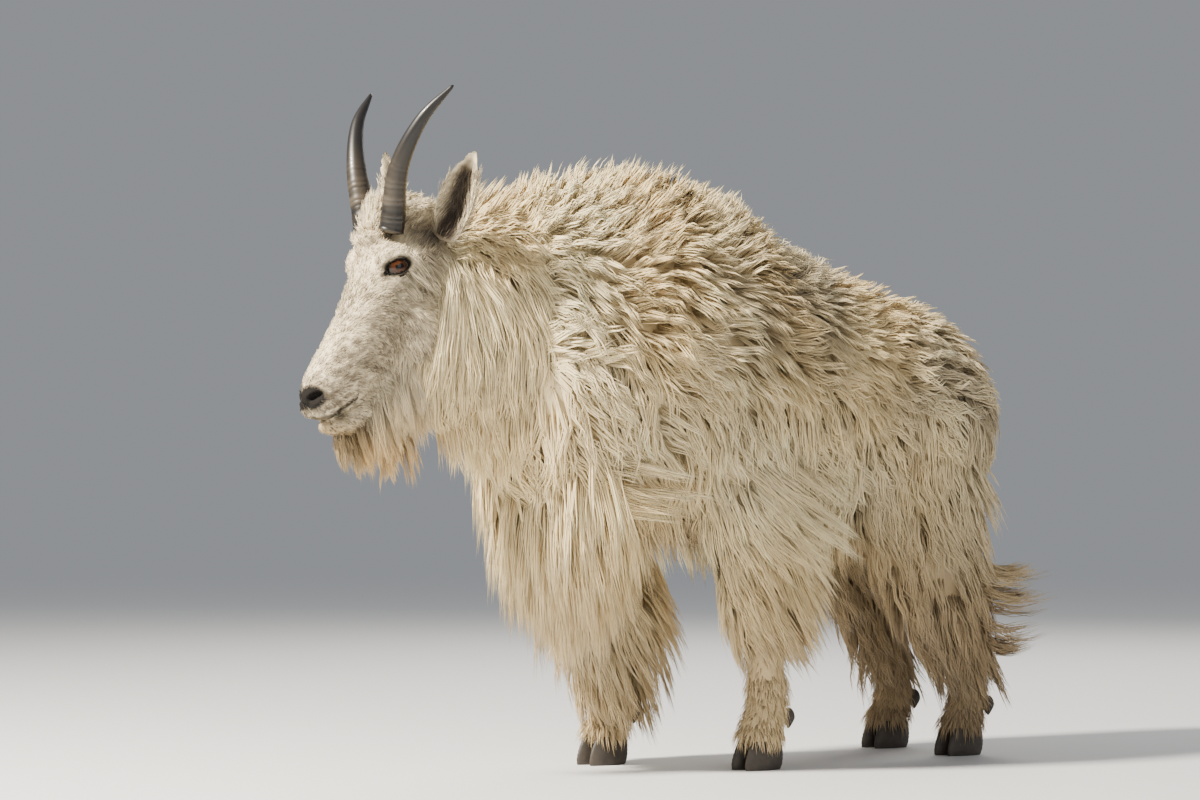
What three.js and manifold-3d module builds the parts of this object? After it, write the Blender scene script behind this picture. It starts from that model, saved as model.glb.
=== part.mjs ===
// A mountain goat standing still, life size. Millimetres, +X towards the nose, +Y to the goat's left, +Z up.
import * as THREE from 'three';
import { mergeVertices } from 'three/addons/utils/BufferGeometryUtils.js';
import Module from 'manifold-3d';

const wasm = await Module();
wasm.setup();

// Gap that two neighbouring solids keep
const GAP = 0.3;

// Driving sizes of the animal
const HUMP_HEIGHT = 862;
const HEAD_TURN = THREE.MathUtils.degToRad(-10);
const HORN_BASE = new THREE.Vector3(573, -45, 763);

// Colours and finishes
const COAT_WHITE = new THREE.MeshStandardMaterial({ color: 0xe9dfc8, roughness: 0.9, metalness: 0 });
const COAT_SHADE = new THREE.MeshStandardMaterial({ color: 0xcbb893, roughness: 0.9, metalness: 0 });
const EAR_FUR = new THREE.MeshStandardMaterial({ color: 0xb9a88a, roughness: 0.9, metalness: 0 });
const HORN_BLACK = new THREE.MeshStandardMaterial({ color: 0x2a2622, roughness: 0.4, metalness: 0 });
const EYE_BROWN = new THREE.MeshStandardMaterial({ color: 0x2b150b, roughness: 0.1, metalness: 0 });
const HOOF_BLACK = new THREE.MeshStandardMaterial({ color: 0x26211d, roughness: 0.5, metalness: 0 });

// Geometry with its seams merged, as a solid that can be joined and cut
function solidOf(geometry) {
  const bare = new THREE.BufferGeometry();
  bare.setAttribute('position', geometry.getAttribute('position'));
  if (geometry.index) bare.setIndex(geometry.index);
  const merged = mergeVertices(bare, 1e-3);
  return new wasm.Manifold(new wasm.Mesh({
    numProp: 3,
    vertProperties: new Float32Array(merged.attributes.position.array),
    triVerts: new Uint32Array(merged.index.array),
  }));
}

const union = (solids) => wasm.Manifold.union(solids);

// The largest closed surface of a solid
function largest(solid) {
  return solid.decompose().reduce((a, b) => (b.volume() > a.volume() ? b : a));
}

// A named mesh from a solid
function meshOf(name, solid, material) {
  const { numProp, numVert, vertProperties, triVerts } = solid.getMesh();
  const places = new Float32Array(numVert * 3);
  for (let i = 0; i < numVert; i++) {
    places.set(vertProperties.subarray(i * numProp, i * numProp + 3), i * 3);
  }
  const geometry = new THREE.BufferGeometry();
  geometry.setAttribute('position', new THREE.BufferAttribute(places, 3));
  geometry.setIndex(new THREE.BufferAttribute(new Uint32Array(triVerts), 1));
  geometry.computeVertexNormals();
  const mesh = new THREE.Mesh(geometry, material);
  mesh.name = name;
  return mesh;
}

// A body of flesh: sections along a spine, each with its middle and how far it reaches up, down and to the sides.
// pinch narrows the top of a section, and end says which share of the length each rounded end takes.
// coat is how far the locks of long hair stand out of a section: the form itself is that much smaller.
// The sections stand square to the spine, or to a fixed direction where facing gives one.
class Form {
  constructor(sections, { upward = [0, 0, 1], facing = null, end = 0.12 } = {}) {
    const places = sections.map((s) => new THREE.Vector3(s.x, s.y ?? 0, s.z));
    const sizes = sections.map(({ up, down, side, coat = 0 }) => (
      new THREE.Vector3(up - coat, down - coat, side - coat)
    ));
    const pinches = sections.map((s) => new THREE.Vector3(s.pinch ?? 0, s.coat ?? 0, 0));
    this.spine = new THREE.CatmullRomCurve3(places, false, 'catmullrom', 0.5);
    this.sizes = new THREE.CatmullRomCurve3(sizes, false, 'catmullrom', 0.5);
    this.pinches = new THREE.CatmullRomCurve3(pinches, false, 'catmullrom', 0.5);
    this.upward = new THREE.Vector3(...upward);
    this.facing = facing && new THREE.Vector3(...facing);
    this.end = end;
  }

  tangent(t) {
    return this.facing ? this.facing.clone() : this.spine.getTangent(t);
  }

  // The point at a share t of the length and an angle measured from the top towards the goat's left
  point(t, angle, grow = 0) {
    const middle = this.spine.getPoint(t);
    const tangent = this.tangent(t);
    const left = new THREE.Vector3().crossVectors(this.upward, tangent).normalize();
    const up = new THREE.Vector3().crossVectors(tangent, left).normalize();
    const size = this.sizes.getPoint(t);
    const past = Math.max(0, Math.abs(2 * t - 1) - (1 - 2 * this.end)) / (2 * this.end);
    const cap = Math.sqrt(Math.max(0, 1 - past * past));
    const rise = Math.cos(angle);
    const tall = (rise > 0 ? size.x : size.y) * cap + grow;
    const narrowing = 1 - this.pinches.getPoint(t).x * Math.max(0, rise) ** 2;
    const wide = size.z * cap * narrowing + grow;
    middle.addScaledVector(tangent, Math.sign(t - 0.5) * past * grow);
    return middle.addScaledVector(up, tall * rise).addScaledVector(left, wide * Math.sin(angle));
  }

  // The way out of the surface at a point of it
  normal(t, angle) {
    const along = this.point(t + 0.01, angle).sub(this.point(t - 0.01, angle));
    const across = this.point(t, angle + 0.02).sub(this.point(t, angle - 0.02));
    return along.cross(across).normalize();
  }

  // Depth of the coat at a share of the length
  coat(t) {
    return this.pinches.getPoint(t).y;
  }

  // The closed surface, made from a sphere whose rings are moved onto the sections
  geometry(around, along, grow = 0) {
    const sphere = new THREE.SphereGeometry(1, around, along);
    const places = sphere.getAttribute('position');
    for (let row = 0; row <= along; row++) {
      const t = (1 - Math.cos((row / along) * Math.PI)) / 2;
      const share = THREE.MathUtils.lerp(t, row / along, 0.6);
      for (let column = 0; column <= around; column++) {
        const pole = row === 0 || row === along;
        const angle = pole ? 0 : (column / around) * 2 * Math.PI;
        const place = pole ? this.spine.getPoint(share) : this.point(share, angle, grow);
        if (pole) place.addScaledVector(this.tangent(share), row === 0 ? -grow : grow);
        places.setXYZ(row * (around + 1) + column, place.x, place.y, place.z);
      }
    }
    return sphere;
  }

  solid(around, along, grow = 0) {
    return solidOf(this.geometry(around, along, grow));
  }
}

// An ellipsoid turned about the sideways axis
function ellipsoid([x, y, z], [a, b, c], pitch = 0, detail = [14, 10], grow = 0) {
  const geometry = new THREE.SphereGeometry(1, ...detail);
  geometry.scale(a + grow, b + grow, c + grow);
  geometry.rotateY(pitch);
  geometry.translate(x, y, z);
  return solidOf(geometry);
}

// Torso, from the rump to the breast
const TORSO = new Form([
  { x: -500, z: 475, up: 105, down: 125, side: 110, coat: 16 },
  { x: -430, z: 492, up: 172, down: 170, side: 165, coat: 20 },
  { x: -328, z: 495, up: 206, down: 195, side: 184, pinch: 0.1, coat: 22 },
  { x: -235, z: 500, up: 228, down: 208, side: 190, pinch: 0.2, coat: 22 },
  { x: -143, z: 510, up: 252, down: 222, side: 200, pinch: 0.36, coat: 22 },
  { x: -64, z: 520, up: 288, down: 232, side: 208, pinch: 0.45, coat: 24 },
  { x: 35, z: 530, up: 320, down: 236, side: 212, pinch: 0.42, coat: 24 },
  { x: 160, z: 540, up: 324, down: 234, side: 208, pinch: 0.34, coat: 24 },
  { x: 260, z: 550, up: 308, down: 226, side: 190, pinch: 0.3, coat: 22 },
  { x: 345, z: 550, up: 285, down: 195, side: 155, pinch: 0.3, coat: 20 },
  { x: 405, z: 545, up: 200, down: 125, side: 100, pinch: 0.2, coat: 14 },
], { facing: [1, 0, 0], end: 0.07 });

// Breast, hanging between the forelegs and in front of them
const BREAST = new Form([
  { x: 292, y: -4, z: 560, up: 118, down: 150, side: 150, coat: 28 },
  { x: 290, y: -8, z: 470, up: 112, down: 150, side: 150, coat: 28 },
  { x: 282, y: -16, z: 380, up: 92, down: 140, side: 128, coat: 26 },
  { x: 268, y: -26, z: 310, up: 66, down: 110, side: 92, coat: 22 },
  { x: 256, y: -34, z: 262, up: 30, down: 50, side: 48, coat: 12 },
], { upward: [1, 0, 0], facing: [0, 0, -1], end: 0.1 });

// Neck with its mane, from inside the breast to behind the ears
const NECK = new Form([
  { x: 250, y: 0, z: 590, up: 225, down: 190, side: 130, pinch: 0.3, coat: 20 },
  { x: 340, y: -8, z: 620, up: 212, down: 185, side: 128, pinch: 0.3, coat: 20 },
  { x: 420, y: -20, z: 640, up: 186, down: 182, side: 112, pinch: 0.3, coat: 20 },
  { x: 475, y: -30, z: 650, up: 156, down: 182, side: 96, pinch: 0.3, coat: 18 },
  { x: 520, y: -37, z: 662, up: 118, down: 160, side: 80, pinch: 0.2, coat: 14 },
], { end: 0.1 });

// Skull and face, in the head's own frame: x forward, y left, z up, from the middle of the horn bases
const SKULL = new Form([
  { x: -92, z: -22, up: 40, down: 46, side: 50 },
  { x: -52, z: -42, up: 50, down: 70, side: 60 },
  { x: -16, z: -66, up: 52, down: 84, side: 62 },
  { x: 8, z: -100, up: 38, down: 86, side: 55 },
  { x: 32, z: -142, up: 34, down: 82, side: 45 },
  { x: 60, z: -186, up: 32, down: 70, side: 37 },
  { x: 84, z: -226, up: 31, down: 52, side: 33 },
  { x: 97, z: -252, up: 22, down: 34, side: 26 },
], { end: 0.1 });

// Lower jaw, from its angle to the chin
const JAW = new Form([
  { x: -56, z: -160, up: 40, down: 30, side: 36 },
  { x: -20, z: -208, up: 40, down: 34, side: 34 },
  { x: 24, z: -252, up: 26, down: 28, side: 28 },
  { x: 68, z: -282, up: 12, down: 16, side: 21 },
], { upward: [1, 0, 0.4], end: 0.12 });

const toWorld = new THREE.Matrix4().makeRotationZ(HEAD_TURN).setPosition(HORN_BASE);
const placed = (solid) => solid.transform(toWorld.elements);

// Eyeball, and the lids' opening: both look outwards and a little forwards
const EYE = { x: -4, y: 46, z: -62, radius: 16.5, look: 0.28, slant: 0.35, wide: 15.5, tall: 10.5 };

// The eye's own frame: x along the slit towards the nose, y outwards, z up
function eyeFrame(side) {
  return new THREE.Matrix4().makeTranslation(EYE.x, side * EYE.y, EYE.z)
    .multiply(new THREE.Matrix4().makeRotationZ(-side * EYE.look))
    .multiply(new THREE.Matrix4().makeRotationY(EYE.slant));
}

// The hollow between the lids
function lidHollow(side) {
  const hollow = ellipsoid([0, side * (EYE.radius + 1), 0], [EYE.wide, 9, EYE.tall], 0, [12, 8]);
  return hollow.transform(eyeFrame(side).elements);
}

// The rim of both lids, the upper one heavier
function lidRim(side) {
  const ring = new THREE.TorusGeometry(1, 0.2, 4, 14);
  const places = ring.getAttribute('position');
  for (let i = 0; i < places.count; i++) {
    const [x, z, out] = [places.getX(i), places.getY(i), places.getZ(i)];
    const reach = Math.hypot(x, z);
    const thick = (z > 0 ? 14 : 9) * (1 - 0.3 * Math.abs(x) ** 2);
    const rim = (reach - 1) * thick;
    const depth = EYE.radius + 0.8 - 6 * (x / reach) ** 2;
    places.setXYZ(i, (x / reach) * (EYE.wide + 1.5 + rim), side * (depth + out * 12), (z / reach) * (EYE.tall + 1.5 + rim));
  }
  const rim = new THREE.BufferGeometry().copy(ring);
  if (side > 0) rim.scale(-1, 1, 1);
  return solidOf(rim).transform(eyeFrame(side).elements);
}

// The mouth's line as a thin curved sheet right across the muzzle, which the groove follows
const MOUTH = { thick: 3.2, depth: 6 };
function mouthSheet() {
  const line = new THREE.CatmullRomCurve3([
    [140, -276], [112, -273], [88, -266], [60, -251], [34, -231],
  ].map(([x, z]) => new THREE.Vector3(x, z, 0))).getPoints(6);
  const sheet = new THREE.Shape([
    ...line.map((q) => new THREE.Vector2(q.x, q.y + MOUTH.thick / 2)),
    ...line.reverse().map((q) => new THREE.Vector2(q.x, q.y - MOUTH.thick / 2)),
  ]);
  const geometry = new THREE.ExtrudeGeometry(sheet, { depth: 120, bevelEnabled: false });
  geometry.translate(0, 0, -60);
  geometry.rotateX(Math.PI / 2);
  return solidOf(geometry);
}

function headSolid(grow = 0) {
  const pieces = [SKULL.solid(14, 13, grow)];
  for (const side of [1, -1]) {
    pieces.push(ellipsoid([-4, side * 42, -57], [31, 19, 27], 0.6, [10, 8], grow));
    pieces.push(ellipsoid([-46, side * 34, -140], [40, 26, 58], 0.2, [10, 7], grow));
    pieces.push(ellipsoid([88, side * 14, -247], [24, 18, 23], 0.5, [10, 7], grow));
  }
  pieces.push(ellipsoid([66, 0, -276], [36, 23, 18], 0.45, [12, 7], grow));
  pieces.push(JAW.solid(10, 8, grow));
  return union(pieces);
}

// Legs: sections from inside the body down to the pastern
const LEGS = {
  fore_left: [
    { x: 45, y: 112, z: 470, up: 100, down: 110, side: 66, coat: 14 },
    { x: 30, y: 114, z: 380, up: 100, down: 116, side: 66, coat: 20 },
    { x: 12, y: 114, z: 300, up: 104, down: 128, side: 64, coat: 28 },
    { x: 6, y: 112, z: 250, up: 88, down: 104, side: 58, coat: 26 },
    { x: 4, y: 110, z: 212, up: 46, down: 52, side: 42, coat: 10 },
    { x: -4, y: 110, z: 150, up: 32, down: 40, side: 34, coat: 3 },
    { x: -8, y: 110, z: 100, up: 31, down: 41, side: 34, coat: 3 },
    { x: 0, y: 110, z: 62, up: 36, down: 36, side: 36 },
    { x: 6, y: 110, z: 34, up: 33, down: 34, side: 34 },
  ],
  fore_right: [
    { x: 140, y: -108, z: 470, up: 95, down: 100, side: 62, coat: 14 },
    { x: 125, y: -110, z: 380, up: 100, down: 110, side: 72, coat: 20 },
    { x: 110, y: -112, z: 300, up: 110, down: 134, side: 88, coat: 30 },
    { x: 104, y: -112, z: 230, up: 110, down: 150, side: 96, coat: 34 },
    { x: 98, y: -110, z: 170, up: 100, down: 128, side: 86, coat: 34 },
    { x: 94, y: -110, z: 125, up: 60, down: 66, side: 56, coat: 18 },
    { x: 90, y: -110, z: 95, up: 30, down: 38, side: 32, coat: 2 },
    { x: 96, y: -110, z: 60, up: 35, down: 36, side: 35 },
    { x: 102, y: -110, z: 34, up: 33, down: 34, side: 34 },
  ],
  hind_left: [
    { x: -300, y: 95, z: 490, up: 120, down: 140, side: 80, coat: 14 },
    { x: -315, y: 102, z: 400, up: 140, down: 152, side: 84, coat: 22 },
    { x: -335, y: 102, z: 310, up: 132, down: 140, side: 80, coat: 26 },
    { x: -370, y: 100, z: 235, up: 112, down: 122, side: 70, coat: 26 },
    { x: -405, y: 96, z: 180, up: 82, down: 82, side: 56, coat: 22 },
    { x: -432, y: 95, z: 125, up: 42, down: 44, side: 38, coat: 6 },
    { x: -432, y: 95, z: 85, up: 32, down: 38, side: 33, coat: 2 },
    { x: -424, y: 95, z: 58, up: 34, down: 36, side: 34 },
    { x: -418, y: 95, z: 34, up: 33, down: 34, side: 34 },
  ],
  hind_right: [
    { x: -310, y: -95, z: 490, up: 120, down: 130, side: 80, coat: 14 },
    { x: -330, y: -98, z: 400, up: 130, down: 138, side: 82, coat: 20 },
    { x: -360, y: -98, z: 310, up: 118, down: 120, side: 74, coat: 22 },
    { x: -405, y: -95, z: 235, up: 92, down: 96, side: 62, coat: 22 },
    { x: -440, y: -92, z: 175, up: 64, down: 64, side: 50, coat: 16 },
    { x: -462, y: -90, z: 120, up: 36, down: 40, side: 36, coat: 3 },
    { x: -464, y: -90, z: 85, up: 31, down: 37, side: 33, coat: 2 },
    { x: -458, y: -90, z: 58, up: 34, down: 36, side: 34 },
    { x: -452, y: -90, z: 34, up: 33, down: 34, side: 34 },
  ],
};
const LEG_FORMS = Object.fromEntries(Object.entries(LEGS).map(
  ([name, sections]) => [name, new Form(sections, { upward: [1, 0, 0], facing: [0, 0, -1], end: 0.04 })],
));

// Where the long hair of each upper leg hangs, as shares of the leg's length from its top
const LEG_FRINGES = {
  fore_left: [
    { t: 0.17, count: 5, fall: [-0.15, 0, -1], length: 120, width: 88, flare: 0.4 },
    { t: 0.3, count: 5, fall: [-0.2, 0, -1], length: 84, width: 76, flare: 0.4 },
  ],
  fore_right: [
    { t: 0.2, count: 5, fall: [-0.06, 0, -1], length: 130, width: 104, flare: 0.4 },
    { t: 0.38, count: 6, fall: [-0.04, 0, -1], length: 120, width: 94, flare: 0.4 },
  ],
  hind_left: [
    { t: 0.18, count: 5, fall: [-0.2, 0, -1], length: 130, width: 108, flare: 0.4 },
    { t: 0.34, count: 5, fall: [-0.3, 0, -1], length: 100, width: 88, flare: 0.4 },
  ],
  hind_right: [
    { t: 0.18, count: 4, fall: [-0.2, 0, -1], length: 130, width: 104, flare: 0.4 },
    { t: 0.34, count: 4, fall: [-0.3, 0, -1], length: 90, width: 84, flare: 0.4 },
  ],
};

// Hoof claw: its side outline pushed out sideways, flat on the floor
const HOOF = { length: 74, height: 40, width: 22, spread: 13.5, bevel: 3 };
function hoofClaw(foot, side, grow = 0) {
  const { length, height, width, spread, bevel } = HOOF;
  const outline = new THREE.Shape();
  outline.moveTo(-length * 0.42 + bevel, bevel);
  outline.lineTo(length * 0.56 - bevel, bevel);
  outline.quadraticCurveTo(length * 0.52, height * 0.35, length * 0.2, height - bevel);
  outline.lineTo(-length * 0.4, height * 0.72 - bevel);
  outline.closePath();
  const geometry = new THREE.ExtrudeGeometry(outline, {
    depth: width - 2 * bevel, steps: 1, curveSegments: 4,
    bevelEnabled: true, bevelThickness: bevel + grow, bevelSize: bevel + grow, bevelSegments: 1,
  });
  geometry.translate(0, 0, -(width - 2 * bevel) / 2);
  geometry.rotateX(Math.PI / 2);
  geometry.rotateZ(side * 0.06);
  geometry.translate(foot.x, foot.y + side * spread, 0);
  return solidOf(geometry);
}

function dewclaw(foot, side, grow = 0) {
  return ellipsoid([foot.x - 44, foot.y + side * 16, 72], [9, 8, 15], 0.5, [7, 5], grow);
}

// Horn: a tapered curve, out and back, with its radius at equal steps along it
const HORN = { spacing: 38.5, around: 12, along: 14 };
const HORN_RADII = new THREE.SplineCurve(
  [17, 16.2, 15, 13.6, 12, 10.2, 8.2, 5.6, 2].map((r, i) => new THREE.Vector2(i, r)),
);
function hornSolid(side, grow = 0) {
  const curve = new THREE.CatmullRomCurve3([
    [0, HORN.spacing - 4, -18], [-2, HORN.spacing, 2], [0, HORN.spacing + 20, 72],
    [-18, HORN.spacing + 50, 135], [-54, HORN.spacing + 74, 182],
  ].map(([x, y, z]) => new THREE.Vector3(x, side * y, z)));
  const cone = new THREE.SphereGeometry(1, HORN.around, HORN.along);
  const places = cone.getAttribute('position');
  for (let row = 0; row <= HORN.along; row++) {
    const t = row / HORN.along;
    const pole = row === 0 || row === HORN.along;
    const middle = curve.getPointAt(t);
    const tangent = curve.getTangentAt(t);
    const left = new THREE.Vector3().crossVectors(new THREE.Vector3(1, 0, 0), tangent).normalize();
    const front = new THREE.Vector3().crossVectors(tangent, left).normalize();
    const radius = pole ? 0 : HORN_RADII.getPoint(t).y + grow;
    for (let column = 0; column <= HORN.around; column++) {
      const angle = (column / HORN.around) * 2 * Math.PI;
      const place = middle.clone()
        .addScaledVector(front, Math.cos(angle) * radius * 1.06)
        .addScaledVector(left, Math.sin(angle) * radius * 0.95);
      places.setXYZ(row * (HORN.around + 1) + column, place.x, place.y, place.z);
    }
  }
  return placed(solidOf(cone));
}

// Ear: a long leaf with a cup scooped out of its front
const EAR = { length: 120, wide: 27 };
function earSolid(side) {
  const outer = new Form([
    { x: 0, z: -16, up: 16, down: 15, side: 18 },
    { x: 0, z: 12, up: 16, down: 16, side: 24 },
    { x: -1, z: 42, up: 14, down: 14, side: EAR.wide },
    { x: -4, z: 78, up: 10, down: 10, side: 21 },
    { x: -9, z: EAR.length, up: 5, down: 5, side: 7 },
  ], { upward: [1, 0, 0], end: 0.08 });
  const cup = new Form([
    { x: 16, z: 10, up: 14, down: 14, side: 9 },
    { x: 13, z: 40, up: 15, down: 15, side: EAR.wide - 9 },
    { x: 7, z: 78, up: 11, down: 11, side: 13 },
    { x: -2, z: EAR.length - 10, up: 4, down: 4, side: 3 },
  ], { upward: [1, 0, 0], end: 0.12 });
  const ear = outer.solid(10, 10).subtract(cup.solid(8, 8));
  const place = new THREE.Matrix4().compose(
    new THREE.Vector3(-72, side * 60, -12),
    new THREE.Quaternion().setFromEuler(new THREE.Euler(-side * 0.46, 0.16, side * 0.5, 'ZYX')),
    new THREE.Vector3(1, 1, 1),
  );
  return placed(ear.transform(place.elements));
}

// Tail, short, hanging behind the rump
const TAIL = new Form([
  { x: -455, z: 560, up: 22, down: 22, side: 26, coat: 5 },
  { x: -490, z: 530, up: 24, down: 22, side: 30, coat: 7 },
  { x: -512, z: 480, up: 22, down: 20, side: 28, coat: 7 },
  { x: -516, z: 425, up: 10, down: 10, side: 12, coat: 3 },
], { upward: [-1, 0, 0], end: 0.15 });

// Locks of long hair: flat, tapered and bending, each rooted deep in the form it grows on
let seed = 20240611;
function random(low = 0, high = 1) {
  seed = (seed + 0x6d2b79f5) | 0;
  let r = Math.imul(seed ^ (seed >>> 15), 1 | seed);
  r = (r + Math.imul(r ^ (r >>> 7), 61 | r)) ^ r;
  return low + (((r ^ (r >>> 14)) >>> 0) / 4294967296) * (high - low);
}

// One lock along a row of places, with the way out at each, a width and a thickness
function lock({ places, outs, width, thick }, grow = 0) {
  const around = 4;
  const along = places.length - 1;
  const ball = new THREE.SphereGeometry(1, around, along);
  const spots = ball.getAttribute('position');
  const widths = [0, 0.85, 1, 0.7, 0];
  places.forEach((middle, row) => {
    const tangent = places[Math.min(row + 1, along)].clone().sub(places[Math.max(row - 1, 0)]).normalize();
    const across = new THREE.Vector3().crossVectors(outs[row], tangent).normalize();
    const out = new THREE.Vector3().crossVectors(tangent, across).normalize();
    const share = widths[Math.round((row / along) * 4)];
    const flat = thick * share * (1 - 0.55 * (row / along)) + (share && grow);
    const half = width * 0.5 * share + (share && grow);
    for (let column = 0; column <= around; column++) {
      const angle = ((column % around) / around) * 2 * Math.PI;
      const place = middle.clone()
        .addScaledVector(out, Math.cos(angle) * flat)
        .addScaledVector(across, Math.sin(angle) * half);
      if (!share) place.addScaledVector(tangent, row === 0 ? -2 * grow : 2 * grow);
      spots.setXYZ(row * (around + 1) + column, place.x, place.y, place.z);
    }
  });
  return solidOf(ball);
}

// A lock lying over a form: it starts at a share t and an angle, and runs the given millimetres along and round
function lyingLock(form, t, angle, along, round, width, thick, lift = 1) {
  const length = form.spine.getLength();
  const reach = form.point(t, angle).distanceTo(form.spine.getPoint(t));
  const steps = [-0.06, 0.12, 0.42, 0.74, 1];
  const heights = [-0.9, 0.05, 0.4 * lift, 0.62 * lift, 0.85];
  const coat = form.coat(t);
  const places = [];
  const outs = [];
  steps.forEach((step, i) => {
    const share = THREE.MathUtils.clamp(t + (along * step) / length, 0.015, 0.985);
    const turn = angle + (round * step) / reach;
    const out = form.normal(share, turn);
    places.push(form.point(share, turn).addScaledVector(out, heights[i] * coat));
    outs.push(out);
  });
  return { places, outs, width, thick };
}

// A lock hanging from a form in a given direction
function hangingLock(form, t, angle, [dx, dy, dz], length, width, thick, flare = 0.5) {
  const root = form.point(t, angle);
  const out = form.normal(t, angle);
  const fall = new THREE.Vector3(dx, dy, dz).normalize();
  const coat = form.coat(t);
  const steps = [-0.16, 0.1, 0.42, 0.74, 1];
  const heights = [-0.7, 0.1, flare, 0.9 * flare, 0.4 * flare];
  const places = steps.map((step, i) => (
    root.clone().addScaledVector(fall, step * length).addScaledVector(out, heights[i] * coat)
  ));
  return { places, outs: places.map(() => out), width, thick };
}

// Rows of lying locks over a form between two shares of its length, the same on both sides but for chance
function coatRows(form, rows) {
  const locks = [];
  for (const { t, from, to, count, along, round, width, thick = 13 } of rows) {
    for (let i = 0; i < count; i++) {
      const middle = from + ((i + 0.5) / count) * (to - from);
      const angle = middle + random(-0.3, 0.3) * ((to - from) / count);
      const turn = Math.sin(angle) >= 0 ? 1 : -1;
      const share = t + random(-0.015, 0.015);
      locks.push(lyingLock(form, share, angle, along * random(0.85, 1.15),
        turn * round * Math.min(1, 0.35 + Math.abs(Math.sin(angle))) * random(0.8, 1.2),
        width * random(0.85, 1.1), thick, random(0.85, 1.1)));
    }
  }
  return locks;
}

// Rings of hanging locks round a form
function fringe(form, rings) {
  const locks = [];
  for (const { t, from = 0, to = 2 * Math.PI, count, fall, length, width, thick = 10, flare = 0.6 } of rings) {
    for (let i = 0; i < count; i++) {
      const angle = from + ((i + 0.5 + random(-0.25, 0.25)) / count) * (to - from);
      const way = [fall[0] + random(-0.08, 0.08), fall[1] + random(-0.08, 0.08), fall[2]];
      locks.push(hangingLock(form, t + random(-0.02, 0.02), angle, way,
        length * random(0.85, 1.15), width * random(0.85, 1.1), thick, flare));
    }
  }
  return locks;
}

const goat = new THREE.Group();
const add = (name, solid, material) => goat.add(meshOf(name, largest(solid), material));

const torsoSolid = (grow) => union([TORSO.solid(20, 18, grow), BREAST.solid(14, 9, grow)]);
const bareTorso = torsoSolid(0);
const torsoLocks = [
  ...coatRows(TORSO, [
    { t: 0.1, from: -2.5, to: 2.5, count: 6, along: -60, round: 150, width: 104 },
    { t: 0.24, from: -2.7, to: 2.7, count: 8, along: -150, round: 120, width: 108 },
    { t: 0.4, from: -2.7, to: 2.7, count: 8, along: -150, round: 130, width: 112 },
    { t: 0.56, from: -2.7, to: 2.7, count: 8, along: -150, round: 130, width: 112 },
    { t: 0.72, from: -2.7, to: 2.7, count: 8, along: -130, round: 150, width: 112 },
    { t: 0.88, from: -2.4, to: 2.4, count: 6, along: -70, round: 160, width: 104 },
  ]),
  ...fringe(TORSO, [
    { t: 0.38, from: 2.3, to: 3.98, count: 3, fall: [-0.9, 0, -0.3], length: 120, width: 90, flare: 0.2 },
    { t: 0.56, from: 2.3, to: 3.98, count: 3, fall: [-0.9, 0, -0.3], length: 120, width: 90, flare: 0.2 },
  ]),
  ...fringe(BREAST, [
    { t: 0.3, from: -1.4, to: 1.4, count: 3, fall: [-0.12, 0, -1], length: 150, width: 104, flare: 0.3 },
    { t: 0.62, from: -1.8, to: 1.8, count: 4, fall: [-0.15, 0, -1], length: 90, width: 74, flare: 0.3 },
  ]),
];
const withLocks = (solid, locks, grow = 0) => union([solid, ...locks.map((piece) => lock(piece, grow))]);
const torso = withLocks(bareTorso, torsoLocks);
const torsoGrown = union([torso, withLocks(torsoSolid(GAP), torsoLocks, GAP)]);
const neckLocks = coatRows(NECK, [
  { t: 0.52, from: -3, to: 3, count: 7, along: -50, round: 140, width: 112 },
  { t: 0.8, from: -3, to: 3, count: 7, along: -50, round: 125, width: 98 },
]);
const neckWhole = withLocks(NECK.solid(16, 11), neckLocks);
const neckGrown = union([neckWhole, withLocks(NECK.solid(16, 11, GAP), neckLocks, GAP)]);
const floor = new THREE.BoxGeometry(3000, 3000, 200);
floor.translate(0, 0, -100);

add('torso', torso, COAT_WHITE);
add('neck', neckWhole.subtract(torsoGrown), COAT_WHITE);

// Beard and cheek fringe in the plain form
const BEARD = new Form([
  { x: -34, z: -140, up: 44, down: 52, side: 50, coat: 6 },
  { x: -34, z: -210, up: 46, down: 52, side: 48, coat: 12 },
  { x: -28, z: -280, up: 40, down: 44, side: 36, coat: 14 },
  { x: -22, z: -338, up: 20, down: 20, side: 14, coat: 8 },
], { upward: [1, 0, 0], facing: [0, 0, -1], end: 0.1 });

// Forelock between the horns, and the chin's tuft, in the plain form
const FORELOCK = new Form([
  { x: 10, z: -40, up: 12, down: 30, side: 34, coat: 6 },
  { x: 6, z: 2, up: 24, down: 40, side: 36, coat: 8 },
  { x: -38, z: 18, up: 32, down: 50, side: 44, coat: 10 },
  { x: -86, z: 12, up: 26, down: 50, side: 50, coat: 10 },
], { end: 0.12 });
const CHIN_TUFT = new Form([
  { x: 52, z: -276, up: 30, down: 30, side: 20, coat: 6 },
  { x: 46, z: -305, up: 26, down: 28, side: 17, coat: 7 },
  { x: 38, z: -334, up: 12, down: 12, side: 8, coat: 4 },
], { upward: [1, 0, 0], facing: [0, 0, -1], end: 0.12 });
const horns = [1, -1].map((side) => hornSolid(side));
const hornsGrown = [1, -1].map((side) => hornSolid(side, GAP));
const eyeAt = (side, grow = 0) => placed(
  ellipsoid([EYE.x, side * EYE.y, EYE.z], [EYE.radius, EYE.radius, EYE.radius], 0, [14, 10], grow),
);
const nostril = (side) => union([
  ellipsoid([117, side * 15, -243], [9, 4.2, 6], 0.5, [8, 6]),
  ellipsoid([110, side * 21, -237], [8, 3.2, 4], 0.9, [8, 6]),
]);
const mouth = mouthSheet().subtract(headSolid(-MOUTH.depth));
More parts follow.
